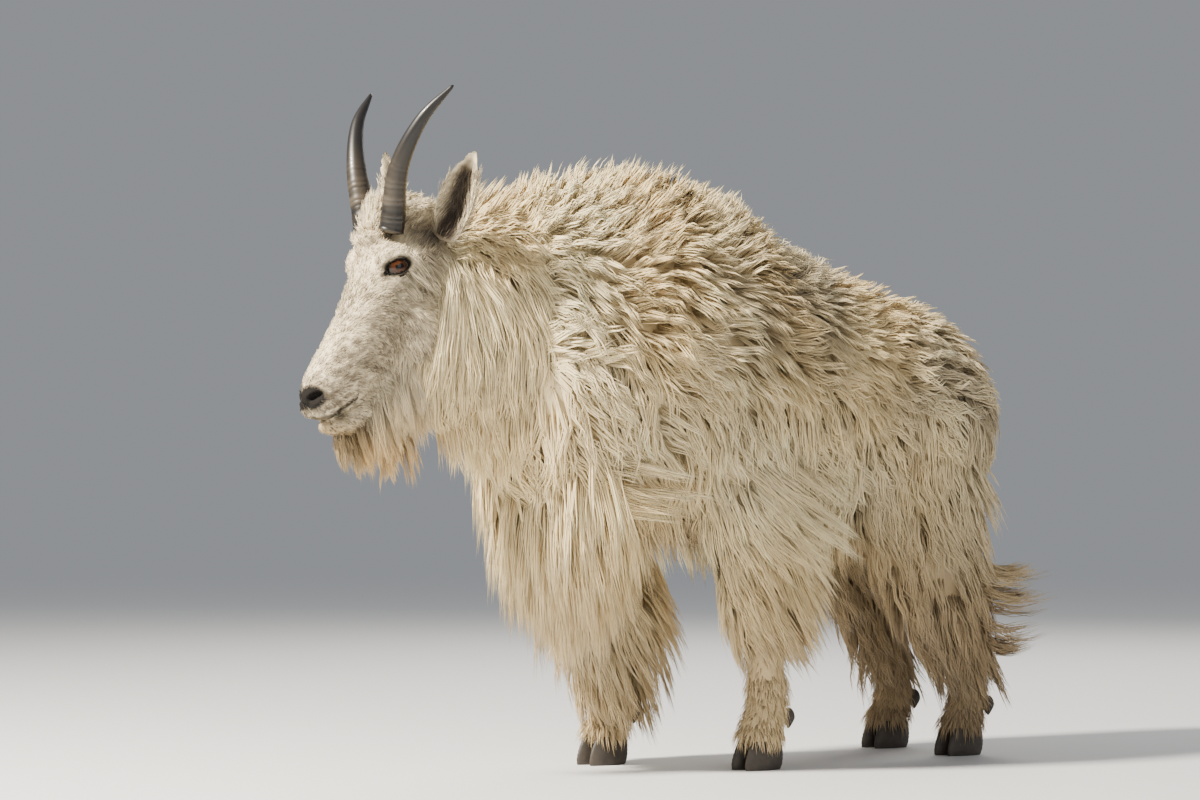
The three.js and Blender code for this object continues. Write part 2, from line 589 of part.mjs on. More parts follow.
const headLocks = [
  ...fringe(BEARD, [
    { t: 0.25, count: 5, fall: [-0.05, 0, -1], length: 90, width: 50, thick: 7, flare: 0.5 },
    { t: 0.62, count: 4, fall: [-0.05, 0, -1], length: 84, width: 42, thick: 7, flare: 0.5 },
    { t: 0.85, count: 3, fall: [-0.08, 0, -1], length: 50, width: 30, thick: 7, flare: 0.5 },
  ]),
  ...coatRows(FORELOCK, [
    { t: 0.5, from: -1.4, to: 1.4, count: 3, along: 44, round: 30, width: 40, thick: 8 },
    { t: 0.78, from: -1.4, to: 1.4, count: 3, along: 36, round: 36, width: 44, thick: 8 },
  ]),
  ...fringe(CHIN_TUFT, [
    { t: 0.42, count: 3, fall: [-0.1, 0, -1], length: 46, width: 26, thick: 6, flare: 0.7 },
  ]),
];
const fringes = (grow) => [BEARD.solid(10, 8, grow), FORELOCK.solid(10, 7, grow), CHIN_TUFT.solid(7, 5, grow),
  ...headLocks.map((piece) => lock(piece, grow))];
let head = union([headSolid(), lidRim(1), lidRim(-1), ...fringes(0)]);
head = placed(head.subtract(union([mouth, lidHollow(1), lidHollow(-1), nostril(1), nostril(-1)])));
head = head.subtract(union([torsoGrown, neckGrown, ...hornsGrown, eyeAt(1, GAP), eyeAt(-1, GAP)]));
add('head', head, COAT_WHITE);
const headGrown = placed(union([headSolid(GAP), ...fringes(GAP)]));
[1, -1].forEach((side, i) => {
  const name = side > 0 ? 'left' : 'right';
  add(`horn_${name}`, horns[i], HORN_BLACK);
  add(`eye_${name}`, eyeAt(side), EYE_BROWN);
  add(`ear_${name}`, earSolid(side).subtract(union([headGrown, neckGrown, hornsGrown[i]])), EAR_FUR);
});

const tailLocks = fringe(TAIL, [{ t: 0.5, count: 3, fall: [0.05, 0, -1], length: 75, width: 44, thick: 7, flare: 0.8 }]);
add('tail', withLocks(TAIL.solid(10, 8), tailLocks).subtract(torsoGrown), COAT_WHITE);

for (const [name, sections] of Object.entries(LEGS)) {
  const foot = sections[sections.length - 1];
  const claws = [1, -1].map((side) => hoofClaw(foot, side));
  const clawsGrown = [1, -1].map((side) => hoofClaw(foot, side, GAP));
  const dews = [1, -1].map((side) => dewclaw(foot, side));
  const dewsGrown = [1, -1].map((side) => dewclaw(foot, side, GAP));
  const locks = fringe(LEG_FORMS[name], LEG_FRINGES[name]);
  const cuts = [torsoGrown, neckGrown, ...clawsGrown, ...dewsGrown];
  add(`leg_${name}`, withLocks(LEG_FORMS[name].solid(12, 16), locks).subtract(union(cuts)), COAT_WHITE);
  ['outer', 'inner'].forEach((part, i) => {
    const left = name.endsWith('left') ? i : 1 - i;
    add(`hoof_${name}_${part}`, claws[left], HOOF_BLACK);
    add(`dewclaw_${name}_${part}`, dews[left], HOOF_BLACK);
  });
}

// The middle of the box round the whole animal stands at the origin
const box = new THREE.Box3().setFromObject(goat);
goat.position.set(-(box.min.x + box.max.x) / 2, -(box.min.y + box.max.y) / 2, -box.min.z);

export default goat;
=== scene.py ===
import math

import bmesh
import bpy
import numpy as np
from mathutils import Matrix, Vector
from mathutils.bvhtree import BVHTree


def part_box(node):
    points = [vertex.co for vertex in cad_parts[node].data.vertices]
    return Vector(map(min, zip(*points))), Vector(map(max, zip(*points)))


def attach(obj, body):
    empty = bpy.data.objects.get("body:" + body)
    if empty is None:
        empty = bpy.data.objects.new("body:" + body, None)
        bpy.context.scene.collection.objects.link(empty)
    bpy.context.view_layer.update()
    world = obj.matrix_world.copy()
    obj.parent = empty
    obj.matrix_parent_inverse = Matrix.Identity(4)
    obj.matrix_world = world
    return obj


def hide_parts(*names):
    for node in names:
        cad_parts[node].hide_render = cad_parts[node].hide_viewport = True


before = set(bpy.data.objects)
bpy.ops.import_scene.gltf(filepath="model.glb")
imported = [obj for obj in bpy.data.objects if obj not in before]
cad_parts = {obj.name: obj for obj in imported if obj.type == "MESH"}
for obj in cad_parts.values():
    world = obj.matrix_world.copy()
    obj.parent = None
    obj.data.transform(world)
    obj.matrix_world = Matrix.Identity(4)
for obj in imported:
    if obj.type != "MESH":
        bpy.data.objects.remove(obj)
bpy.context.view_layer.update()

# Skin: the animal's hide over its flesh and bone, painted with the colours of the coat that is rooted in it,
# and darker as painted shade under that coat.
# It is one closed surface grown round rounded forms of the body, joined with a finer one for the head, whose
# lids, nostrils and mouth are pressed in.

# Places are in millimetres in the animal's own frame, from the middle of its body on the floor.
# The left eye's place in it is known, so the eye's solid says where it stands in the row.
PER_METRE = 1000
HORN_BASE = np.array([573.0, -45.0, 763.0])
HEAD_TURN = Matrix.Rotation(math.radians(-10), 3, "Z")
EYE = np.array([-4.0, 46.0, -62.0])
EYE_RADIUS = 16.5


def head_place(p):
    """Points of the head's frame in the body's frame."""
    return np.asarray(p, float) @ np.array(HEAD_TURN).T + HORN_BASE


eye_low, eye_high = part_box("eye_left")
ROW = np.array((eye_low + eye_high) / 2) - head_place(EYE) / PER_METRE

# The forms of the body: rows of x, y, z, reach up, down and sideways, pinch of the top, depth of coat.
# They reach out to the tips of the coat, and the skin lies inside them by that depth.
FORMS = {
    "torso": dict(facing=(1, 0, 0), upward=(0, 0, 1), end=0.07, rows=[
        (-500, 0, 475, 105, 125, 110, 0, 28), (-430, 0, 492, 172, 170, 165, 0, 34),
        (-328, 0, 495, 206, 195, 184, 0.1, 38), (-235, 0, 500, 228, 208, 190, 0.2, 42),
        (-143, 0, 510, 252, 222, 200, 0.36, 46), (-64, 0, 520, 288, 232, 208, 0.45, 54),
        (35, 0, 530, 320, 236, 212, 0.42, 58), (160, 0, 540, 324, 234, 208, 0.34, 58),
        (260, 0, 550, 308, 226, 190, 0.3, 54), (345, 0, 550, 285, 195, 155, 0.3, 48),
        (405, 0, 545, 200, 125, 100, 0.2, 36)]),
    "breast": dict(facing=(0, 0, -1), upward=(1, 0, 0), end=0.1, rows=[
        (292, -4, 560, 118, 150, 150, 0, 44), (290, -8, 470, 112, 150, 150, 0, 48),
        (282, -16, 380, 92, 140, 128, 0, 48), (268, -26, 310, 66, 110, 92, 0, 42),
        (256, -34, 262, 30, 50, 48, 0, 24)]),
    "neck": dict(facing=None, upward=(0, 0, 1), end=0.1, rows=[
        (250, 0, 590, 225, 190, 130, 0.3, 34), (340, -8, 620, 212, 185, 128, 0.3, 38),
        (420, -20, 640, 186, 182, 112, 0.3, 42), (475, -30, 650, 156, 182, 96, 0.3, 40),
        (520, -37, 662, 118, 160, 80, 0.2, 34)]),
    "fore_left": dict(facing=(0, 0, -1), upward=(1, 0, 0), end=0.04, rows=[
        (45, 112, 470, 100, 110, 66, 0, 24), (30, 114, 380, 100, 116, 66, 0, 30),
        (12, 114, 300, 104, 128, 64, 0, 36), (6, 112, 250, 88, 104, 58, 0, 30),
        (4, 110, 212, 46, 52, 42, 0, 12), (-4, 110, 150, 32, 40, 34, 0, 8),
        (-8, 110, 100, 31, 41, 34, 0, 7), (0, 110, 62, 36, 36, 36, 0, 6), (6, 110, 34, 33, 34, 34, 0, 5)]),
    "fore_right": dict(facing=(0, 0, -1), upward=(1, 0, 0), end=0.04, rows=[
        (140, -108, 470, 95, 100, 62, 0, 24), (125, -110, 380, 100, 110, 72, 0, 32),
        (110, -112, 300, 110, 134, 88, 0, 46), (104, -112, 230, 110, 150, 96, 0, 58),
        (98, -110, 170, 100, 128, 86, 0, 54), (94, -110, 125, 60, 66, 56, 0, 26),
        (90, -110, 95, 30, 38, 32, 0, 8), (96, -110, 60, 35, 36, 35, 0, 6),
        (102, -110, 34, 33, 34, 34, 0, 5)]),
    "hind_left": dict(facing=(0, 0, -1), upward=(1, 0, 0), end=0.04, rows=[
        (-300, 95, 490, 120, 140, 80, 0, 24), (-315, 102, 400, 140, 152, 84, 0, 32),
        (-335, 102, 310, 132, 140, 80, 0, 40), (-370, 100, 235, 112, 122, 70, 0, 42),
        (-405, 96, 180, 82, 82, 56, 0, 32), (-432, 95, 125, 42, 44, 38, 0, 12),
        (-432, 95, 85, 32, 38, 33, 0, 7), (-424, 95, 58, 34, 36, 34, 0, 6),
        (-418, 95, 34, 33, 34, 34, 0, 5)]),
    "hind_right": dict(facing=(0, 0, -1), upward=(1, 0, 0), end=0.04, rows=[
        (-310, -95, 490, 120, 130, 80, 0, 24), (-330, -98, 400, 130, 138, 82, 0, 30),
        (-360, -98, 310, 118, 120, 74, 0, 36), (-405, -95, 235, 92, 96, 62, 0, 36),
        (-440, -92, 175, 64, 64, 50, 0, 26), (-462, -90, 120, 36, 40, 36, 0, 9),
        (-464, -90, 85, 31, 37, 33, 0, 7), (-458, -90, 58, 34, 36, 34, 0, 6),
        (-452, -90, 34, 33, 34, 34, 0, 5)]),
    "tail": dict(facing=None, upward=(-1, 0, 0), end=0.15, rows=[
        (-455, 0, 560, 22, 22, 26, 0, 10), (-490, 0, 530, 24, 22, 30, 0, 12),
        (-512, 0, 480, 22, 20, 28, 0, 14), (-516, 0, 425, 10, 10, 12, 0, 7)]),
    "skull": dict(facing=None, upward=(0, 0, 1), end=0.12, head=True, rows=[
        (-92, 0, -22, 40, 46, 50, 0, 10), (-52, 0, -42, 50, 70, 60, 0, 7), (-16, 0, -66, 52, 84, 62, 0, 6),
        (8, 0, -100, 38, 86, 55, 0, 5), (32, 0, -142, 34, 82, 45, 0, 4), (60, 0, -186, 32, 70, 37, 0, 3),
        (84, 0, -226, 31, 52, 33, 0, 2), (97, 0, -252, 22, 34, 26, 0, 1)]),
    "jaw": dict(facing=None, upward=(1, 0, 0.4), end=0.12, head=True, rows=[
        (-56, 0, -160, 40, 30, 36, 0, 4), (-20, 0, -208, 40, 34, 34, 0, 4), (24, 0, -252, 26, 28, 28, 0, 3),
        (68, 0, -282, 12, 16, 21, 0, 1)]),
    "beard": dict(facing=(0, 0, -1), upward=(1, 0, 0), end=0.1, head=True, rows=[
        (-34, 0, -140, 44, 52, 50, 0, 16), (-34, 0, -210, 46, 52, 48, 0, 26),
        (-28, 0, -280, 40, 44, 36, 0, 28), (-22, 0, -338, 20, 20, 14, 0, 12)]),
    "chin": dict(facing=(0, 0, -1), upward=(1, 0, 0), end=0.12, head=True, rows=[
        (52, 0, -276, 30, 30, 20, 0, 14), (46, 0, -305, 26, 28, 17, 0, 14), (38, 0, -334, 12, 12, 8, 0, 7)]),
    "poll": dict(facing=None, upward=(0, 0, 1), end=0.12, head=True, rows=[
        (10, 0, -40, 12, 30, 34, 0, 8), (6, 0, 2, 24, 40, 36, 0, 16), (-38, 0, 18, 32, 50, 44, 0, 22),
        (-86, 0, 12, 26, 50, 50, 0, 22)]),
}


def unit(v):
    """Arrows of length 1."""
    return v / np.maximum(np.linalg.norm(v, axis=-1, keepdims=True), 1e-9)


def along_rows(rows, t):
    """Smooth curve through evenly spaced rows, at shares t of its length."""
    n = len(rows) - 1
    s = np.clip(t, 0, 1) * n
    i = np.clip(s.astype(int), 0, n - 1)
    f = (s - i)[:, None]
    padded = np.vstack([2 * rows[0] - rows[1], rows, 2 * rows[-1] - rows[-2]])
    a, b, c, d = (padded[i + k] for k in range(4))
    return 0.5 * (2 * b + (c - a) * f + (2 * a - 5 * b + 4 * c - d) * f**2 + (3 * b - a - 3 * c + d) * f**3)


def form_point(name, t, angle, share):
    """A place on a form: share 0 is on the skin and share 1 at the tips of the coat."""
    form = FORMS[name]
    rows = np.array(form["rows"], float)
    t, angle, share = (np.asarray(q, float) for q in np.broadcast_arrays(t, angle, share))
    at = along_rows(rows, t)
    if form["facing"]:
        tangent = np.broadcast_to(np.array(form["facing"], float), (len(t), 3))
    else:
        tangent = unit(along_rows(rows, t + 0.01)[:, :3] - along_rows(rows, t - 0.01)[:, :3])
    left = unit(np.cross(np.array(form["upward"], float), tangent))
    up = np.cross(tangent, left)
    inset = at[:, 7] * (1 - share)
    past = np.clip((np.abs(2 * t - 1) - (1 - 2 * form["end"])) / (2 * form["end"]), 0, 1)
    cap = np.sqrt(1 - past**2)
    rise = np.cos(angle)
    tall = (np.where(rise > 0, at[:, 3], at[:, 4]) - inset) * cap
    wide = (at[:, 5] - inset) * cap * (1 - at[:, 6] * np.maximum(rise, 0) ** 2)
    place = at[:, :3] + up * (tall * rise)[:, None] + left * (wide * np.sin(angle))[:, None]
    return head_place(place) if form.get("head") else place


def form_normal(name, t, angle, share=0.5):
    """The way out of a form."""
    one = form_point(name, np.clip(t + 0.01, 0, 1), angle, share) - form_point(
        name, np.clip(t - 0.01, 0, 1), angle, share)
    two = form_point(name, t, angle + 0.02, share) - form_point(name, t, angle - 0.02, share)
    return unit(np.cross(one, two))


def linked(name, data):
    """A new object of the scene."""
    obj = bpy.data.objects.new(name, data)
    bpy.context.scene.collection.objects.link(obj)
    return obj


def new_object(name, build):
    """A mesh object at the origin, filled by build(bm)."""
    mesh = bpy.data.meshes.new(name)
    bm = bmesh.new()
    build(bm)
    bm.to_mesh(mesh)
    bm.free()
    return linked(name, mesh)


def add_form(bm, name, around=40, along=34, share=0.0):
    """A sphere moved onto a form."""
    verts = bmesh.ops.create_uvsphere(bm, u_segments=around, v_segments=along, radius=1)["verts"]
    co = np.array([v.co for v in verts])
    turn = np.arccos(np.clip(co[:, 2], -1, 1)) / math.pi
    t = (1 - np.cos(turn * math.pi)) / 2 * 0.4 + turn * 0.6
    places = form_point(name, t, np.arctan2(co[:, 1], co[:, 0]), share)
    for v, p in zip(verts, places):
        v.co = p


def add_ball(bm, centre, radii, pitch=0.0, head=True, detail=28):
    """An ellipsoid turned about the sideways axis, in the head's or the body's frame."""
    verts = bmesh.ops.create_uvsphere(bm, u_segments=detail, v_segments=detail // 2 + 4, radius=1)["verts"]
    turn = np.array(Matrix.Rotation(pitch, 3, "Y"))
    places = (np.array([v.co for v in verts]) * radii) @ turn.T + centre
    for v, p in zip(verts, head_place(places) if head else places):
        v.co = p


# The ears are turned by their yaw, lean and splay, and the right one is held more upright.
EAR_BASE = np.array([-72.0, 60.0, -12.0])
EAR_TURN = {side: Matrix.Rotation(side * yaw, 3, "Z") @ Matrix.Rotation(lean, 3, "Y")
            @ Matrix.Rotation(-side * splay, 3, "X")
            for side, yaw, lean, splay in ((1, 0.5, 0.16, 0.46), (-1, 0.00, 0.15, 0.28))}
EAR_ROWS = np.array([  # height, forward, half width, back of the ear, front of the ear
    (-16, 0, 17, 14, 12), (4, 0, 22, 16, -2), (20, 0, 26, 17, -12), (44, -1, 28, 16, -12),
    (66, -3, 25, 13, -9), (88, -5, 18, 10, -6), (104, -7, 11, 7, -3), (119, -9, 4, 3, 1)], float)


def ear_point(side, t, angle):
    """A place on an ear, whose front is hollow; angle 0 faces forwards."""
    at = along_rows(EAR_ROWS, t)
    past = np.clip((np.abs(2 * t - 1) - 0.88) / 0.12, 0, 1)
    cap = np.sqrt(1 - past**2)
    rise = np.cos(angle)
    x = at[:, 1] + np.where(rise > 0, at[:, 4] * rise**2, at[:, 3] * rise) * cap
    x = x + 5 * np.sin(angle) ** 2 * cap * np.clip(at[:, 0] / 20, 0, 1)
    y = at[:, 2] * np.sin(angle) * cap
    local = np.stack([x, y, at[:, 0]], 1)
    return head_place(local @ np.array(EAR_TURN[side]).T + EAR_BASE * (1, side, 1))


def head_skin(bm):
    for name in ("skull", "jaw"):
        add_form(bm, name)
    add_form(bm, "poll", share=0.2)
    for side in (1, -1):
        add_ball(bm, (-4, side * 41, -56), (30, 18, 26), 0.6)
        add_ball(bm, (-44, side * 33, -140), (38, 24, 56), 0.2)
        add_ball(bm, (6, side * 36, -96), (30, 17, 14), 0.9)
        add_ball(bm, (88, side * 14, -247), (23, 17, 22), 0.5)
        verts = bmesh.ops.create_uvsphere(bm, u_segments=36, v_segments=36, radius=1)["verts"]
        co = np.array([v.co for v in verts])
        t = np.arccos(np.clip(-co[:, 2], -1, 1)) / math.pi
        for v, p in zip(verts, ear_point(side, t, np.arctan2(co[:, 1], co[:, 0]))):
            v.co = p
    add_ball(bm, (106, 0, -238), (11, 16, 16), 0.3)
    add_ball(bm, (2, 0, -38), (27, 36, 24), 0.2)
    add_ball(bm, (57, 0, -274), (33, 21, 14), 0.15)


def body_skin(bm):
    for name in ("torso", "breast", "neck", "fore_left", "fore_right", "hind_left", "hind_right", "tail"):
        add_form(bm, name)
    for name in ("fore_left", "fore_right", "hind_left", "hind_right"):
        foot = np.array(FORMS[name]["rows"][-1][:3], float)
        add_ball(bm, foot + (-30, 0, 42), (17, 24, 20), 0, head=False)


def voxel_surface(obj, size, smooth):
    """One closed surface round the overlapping shapes of an object."""
    for kind, values in (("REMESH", dict(mode="VOXEL", voxel_size=size)),
                         ("SMOOTH", dict(factor=0.6, iterations=smooth))):
        mod = obj.modifiers.new(kind.title(), kind)
        for key, value in values.items():
            setattr(mod, key, value)
    made = bpy.data.meshes.new_from_object(obj.evaluated_get(bpy.context.evaluated_depsgraph_get()))
    obj.modifiers.clear()
    obj.data = made


body = new_object("skin", body_skin)
voxel_surface(body, size=8.0, smooth=4)
head = new_object("skin_head", head_skin)
voxel_surface(head, size=1.95, smooth=2)


def read_all(items, key, width=1, number=float):
    """One value, or a run of width values, for every item of a mesh."""
    values = np.zeros(len(items) * width, number)
    items.foreach_get(key, values)
    return values


def coords(obj):
    return read_all(obj.data.vertices, "co", 3).reshape(-1, 3)


def head_local(p):
    return (p - HORN_BASE) @ np.array(HEAD_TURN)


def eye_axes(side):
    """Along the slit, outwards and upwards, of one eye."""
    turn = np.array(Matrix.Rotation(-side * 0.28, 3, "Z") @ Matrix.Rotation(0.35, 3, "Y"))
    slit, out, rise = turn[:, 0], turn[:, 1] * side, turn[:, 2]
    return slit, out, rise


# Half the length of the eye's slit, its rise and its fall, and the nostril's place and half sizes.
EYE_SLIT, EYE_RISE, EYE_FALL = 16.2, 8.8, 7.8
NOSTRIL = np.array([107.0, 18.0, -239.0])
NOSTRIL_LONG, NOSTRIL_WIDE, NOSTRIL_HIGH = 16, 8, 5.5
spot = head_local(coords(head))
for side in (1, -1):
    slit, out, rise = eye_axes(side)
    rel = spot - EYE * (1, side, 1)
    a, d, b = rel @ slit, rel @ out, rel @ rise
    lid_reach = np.where(b > 0, EYE_RISE, EYE_FALL) * (1 + 0.1 * np.sin(a / 8))
    q = (a / EYE_SLIT) ** 2 + (b / lid_reach) ** 2
    near = d > -4
    lid = np.sqrt(np.maximum(EYE_RADIUS**2 - a**2 - b**2, 30)) + np.where(b > 0, 2.6, 1.5)
    blend = np.clip((2.8 - q) / 1.4, 0, 1) * near * (q > 1)
    goal = d + (lid - d) * blend
    goal = np.where((q <= 1) & near, np.minimum(d, 7.0), goal)
    crease = np.exp(-((q - 2.2) / 0.35) ** 2) * (b > 1) * near
    spot = spot + out * ((goal - d) - 1.4 * crease)[:, None]
    nostril = spot - NOSTRIL * (1, side, 1)
    along, aside, above = (nostril @ np.array(Matrix.Rotation(0.45, 3, "Y"))).T
    hole = (along / NOSTRIL_LONG) ** 2 + (aside / NOSTRIL_WIDE) ** 2
    hole = hole + ((above - 0.02 * along**2) / NOSTRIL_HIGH) ** 2
    spot = spot + np.array([-0.75, -side * 0.35, 0.3]) * (9 * np.clip(1.25 - hole, 0, 1))[:, None]
    flare = np.exp(-((np.sqrt(hole) - 1.5) / 0.3) ** 2) * (side * spot[:, 1] > 4)
    spot = spot + np.array([0.4, side * 0.6, 0.1]) * (1.1 * flare)[:, None]

# The mouth's line from its corner to the lips, forward and up, and the groove that is pressed along it.
MOUTH = np.array([(34, -231), (60, -251), (88, -266), (112, -273), (140, -276)], float)
MOUTH_CORNER, LIP_GAP, LIP_DEPTH = 36, 2.6, 4.0


def mouth_line(x):
    """Height of the mouth's line at places along the head."""
    return np.interp(x, *MOUTH.T)


gap = np.abs(spot[:, 2] - mouth_line(spot[:, 0]))
press = np.clip(1 - (gap / LIP_GAP) ** 2, 0, 1) * np.clip((spot[:, 0] - MOUTH_CORNER) / 8, 0, 1)
groove = np.stack([0.5 * press * (spot[:, 0] > 80), np.sign(spot[:, 1]) * press, 0 * press], 1)
spot = spot - groove * LIP_DEPTH
split = np.exp(-(spot[:, 1] / 1.6) ** 2) * (spot[:, 0] > 92) * (spot[:, 2] > -272) * (spot[:, 2] < -246)
spot[:, 0] -= 3.0 * split
head.data.vertices.foreach_set("co", head_place(spot).ravel())
head_points = len(head.data.vertices)

with bpy.context.temp_override(active_object=body, selected_editable_objects=[body, head]):
    bpy.ops.object.join()
skin = body
points = coords(skin)


# Markings and painted shade: one set of named colours laid by place, for the skin and for every tuft rooted
# on it.
# Points are in the body's frame; the same places give the same colour wherever they are asked.
IVORY = np.array([0.93, 0.80, 0.52])
CREAM = np.array([0.86, 0.64, 0.32])
UNDERCOAT_AND_SHADE = np.array([0.35, 0.28, 0.19])
SHADE_BROWN = np.array([0.27, 0.17, 0.085])
TAN = np.array([0.62, 0.46, 0.255])
HIND_TAN = np.array([0.43, 0.315, 0.185])
FACE = np.array([0.90, 0.77, 0.53])
SPECKLE = np.array([0.23, 0.18, 0.125])
MUZZLE_DARK = np.array([0.014, 0.012, 0.011])
EAR_DARK = np.array([0.05, 0.034, 0.024])
GOLD = np.array([0.72, 0.45, 0.15])
CHIN_BROWN = np.array([0.42, 0.29, 0.14])
DARKEST, PALEST = 0.01, 0.95


def waves(p, size, seed):
    """Soft blotches between 0 and 1 over places, about size millimetres across."""
    dice = np.random.default_rng(seed)
    total = np.zeros(len(p))
    for _ in range(7):
        way = dice.normal(size=3)
        way *= dice.uniform(0.7, 1.6) * math.pi / size / np.linalg.norm(way)
        total += np.sin(p @ way + dice.uniform(0, 6.3))
    return 1 / (1 + np.exp(-1.1 * total))


def near_spot(p, centre, radii):
    """1 at a place and 0 outside its ellipsoid, with a soft edge."""
    d = (((p - np.array(centre, float)) / np.array(radii, float)) ** 2).sum(1)
    return np.clip(1.3 - d, 0, 1)


def blend(base, colour, share):
    """A base colour with a share of another laid over it."""
    return base + (colour - base) * share[:, None]


def markings_and_shade(p, kind, tips=False):
    """Base colour at points, with painted shade; kind is 1 where a point belongs to the head, and tips show
    less grey undercoat and painted shade.
    """
    # Grey undercoat between the curls together with painted shade: greyer patches on the rump, the lower
    # flank, the fold behind the hump and the shoulder, fainter towards the tips.
    grey = np.maximum.reduce([
        near_spot(p * (1, 0, 1), (-395, 0, 540), (130, 1, 130)) * 0.9,
        near_spot(p * (1, 0, 1), (-90, 0, 690), (120, 1, 110)) * 0.8,
        near_spot(p * (1, 0, 1), (-300, 0, 470), (170, 1, 120)) * 0.6,
        near_spot(p * (1, 0, 1), (40, 0, 600), (190, 1, 130)) * 0.5])
    grey = grey * waves(p, 46, 3) * waves(p, 90, 4) * (1.4 if tips else 2.1)
    warm = np.clip((p[:, 0] - 180) / 220, 0, 1) * np.clip((640 - p[:, 2]) / 160, 0, 1) * 0.7
    warm = np.maximum(warm, 0.75 * waves(p, 130, 5))
    hind = p[:, 0] < -200
    low = np.where(hind, np.clip((430 - p[:, 2]) / 220, 0, 1), np.clip((270 - p[:, 2]) / 110, 0, 1))
    # Painted shade: brown under the brisket between the forelegs, and below the long hair of the left
    # foreleg.
    shade_under = np.maximum(
        near_spot(p, (118, 10, 308), (105, 110, 36)), near_spot(p, (0, 120, 212), (60, 60, 36)) * 0.7)
    colour = blend(IVORY, CREAM, warm)
    colour = blend(colour, UNDERCOAT_AND_SHADE, np.clip(grey, 0, 0.85))
    leg = np.where(hind[:, None], HIND_TAN, TAN)
    colour = blend(colour, leg, low * np.where(hind, 0.95, 0.75))
    colour = blend(colour, SHADE_BROWN, 0.95 * shade_under)
    h = head_local(p)
    face = blend(FACE, SPECKLE, 0.9 * waves(p, 9, 6) * waves(p, 26, 7))
    cheek = near_spot(h * (1, 0, 1), (14, 0, -140), (50, 1, 80)) * 0.75
    face = blend(face, SPECKLE, cheek * waves(p, 7, 8))
    nose = near_spot(np.abs(h), (110, 14, 240), (26, 20, 18)) * (h[:, 0] > 60)
    lips = np.clip(1.6 - np.abs(h[:, 2] - mouth_line(h[:, 0])) / 5, 0, 1)
    lips = lips * (h[:, 0] > 40) * (h[:, 2] < -225)
    muzzle = near_spot(h, (88, 0, -246), (56, 60, 40)) * 0.85
    face = blend(face, SPECKLE, muzzle * waves(p, 8, 9))
    face = blend(face, MUZZLE_DARK, np.clip(np.maximum(nose * 1.6, 0.85 * lips), 0, 1))
    for side in (1, -1):
        slit, out, rise = eye_axes(side)
        rel = h - EYE * (1, side, 1)
        a, d, b = rel @ slit, rel @ out, rel @ rise
        ring = np.clip(1.7 - (a / 18) ** 2 - (b / np.where(b > 0, 11.8, 10)) ** 2, 0, 1) * (d > 0)
        duct = np.clip(1.5 - ((a - 20) / 8) ** 2 - ((b + 4) / 4) ** 2, 0, 1) * (d > 0)
        face = blend(face, MUZZLE_DARK, np.clip(ring * 1.5 + duct * 0.8, 0, 1))
        behind = np.maximum(near_spot(h, (-52, side * 52, -18), (36, 30, 26)),
                            near_spot(h, (-42, side * 48, -64), (15, 24, 46)) * 0.7)
        face = blend(face, SPECKLE * 0.6, 0.95 * behind * (0.7 + 0.3 * waves(p, 12, 10)))
        ear = (h - EAR_BASE * (1, side, 1)) @ np.array(EAR_TURN[side])
        half = np.interp(ear[:, 2], EAR_ROWS[:, 0], EAR_ROWS[:, 2])
        across = np.abs(ear[:, 1]) / half
        inside = np.clip((0.74 - across) / 0.34, 0, 1) * np.clip((104 - ear[:, 2]) / 22, 0, 1)
        inside = inside * (ear[:, 2] > -8) * (ear[:, 0] > -13) * (h[:, 0] < -40)
        inside = inside * (ear[:, 2] > 2 - 30 * (side * h[:, 1] > 50))
        face = blend(face, EAR_DARK, 0.97 * np.sqrt(inside))
        outer = (ear[:, 2] > 12) * (ear[:, 0] <= -13) * (across < 1)
        face = blend(face, SPECKLE, 0.6 * outer * waves(p, 10, 12))
    mole = near_spot(h, (60, 36, -145), (4, 9, 4))
    face = blend(face, MUZZLE_DARK, 0.8 * mole)
    chin = h[:, 0] > 20
    golden = np.clip((-264 - h[:, 2]) / np.where(chin, 20, 70), 0, 1) * (h[:, 0] < 100)
    face = blend(face, np.where(chin[:, None], CHIN_BROWN, GOLD), 0.85 * golden)
    return np.clip(np.where((np.asarray(kind) > 0.5)[:, None], face, colour), DARKEST, PALEST)


# The unwrap has four tiles: their side, and where the first and the second start, and a strand's patch on it.
TILE, FIRST, SECOND = 0.49, 0.005, 0.505
PATCH = 0.003


def bake_place(p, n):
    """A place on the skin's own unwrap: its left and right faces, and the inner faces of the legs."""
    inner = (np.abs(p[:, 1]) > 25) & (p[:, 2] < 330) & (n[:, 1] * p[:, 1] < 0)
    u = (p[:, 0] + 640) / 1400 * TILE + np.where(n[:, 1] < 0, SECOND, FIRST)
    v = p[:, 2] / 1000 * TILE + np.where(inner, SECOND, FIRST)
    return np.stack([u, v], 1)


def paint(mesh, colours):
    layer = mesh.color_attributes.new("coat_colour", "FLOAT_COLOR", "POINT")
    opaque = np.hstack([colours, np.ones((len(colours), 1))])
    layer.data.foreach_set("color", opaque.astype(np.float32).ravel())


# Painted shade: the skin is painted darker than the coat's colours, as it lies in the shade of its coat.
SKIN_SHADE = 0.86
is_head = np.zeros(len(points))
is_head[-head_points:] = 1
paint(skin.data, markings_and_shade(points, is_head) * SKIN_SHADE)
loops = read_all(skin.data.loops, "vertex_index", number=np.int32)
skin.data.calc_loop_triangles()
tris = read_all(skin.data.loop_triangles, "vertices", 3, np.int32).reshape(-1, 3)
poly_sizes = read_all(skin.data.polygons, "loop_total", number=np.int32)
poly_normals = read_all(skin.data.polygons, "normal", 3).reshape(-1, 3)
loop_normals = np.repeat(poly_normals, poly_sizes, axis=0)
skin.data.uv_layers.new(name="OFBake").data.foreach_set(
    "uv", bake_place(points[loops], loop_normals).astype(np.float32).ravel())
skin_tree = BVHTree.FromPolygons([Vector(p) for p in points[:-head_points]],
                                 [tuple(q) for q in tris[(tris < len(points) - head_points).all(1)]])


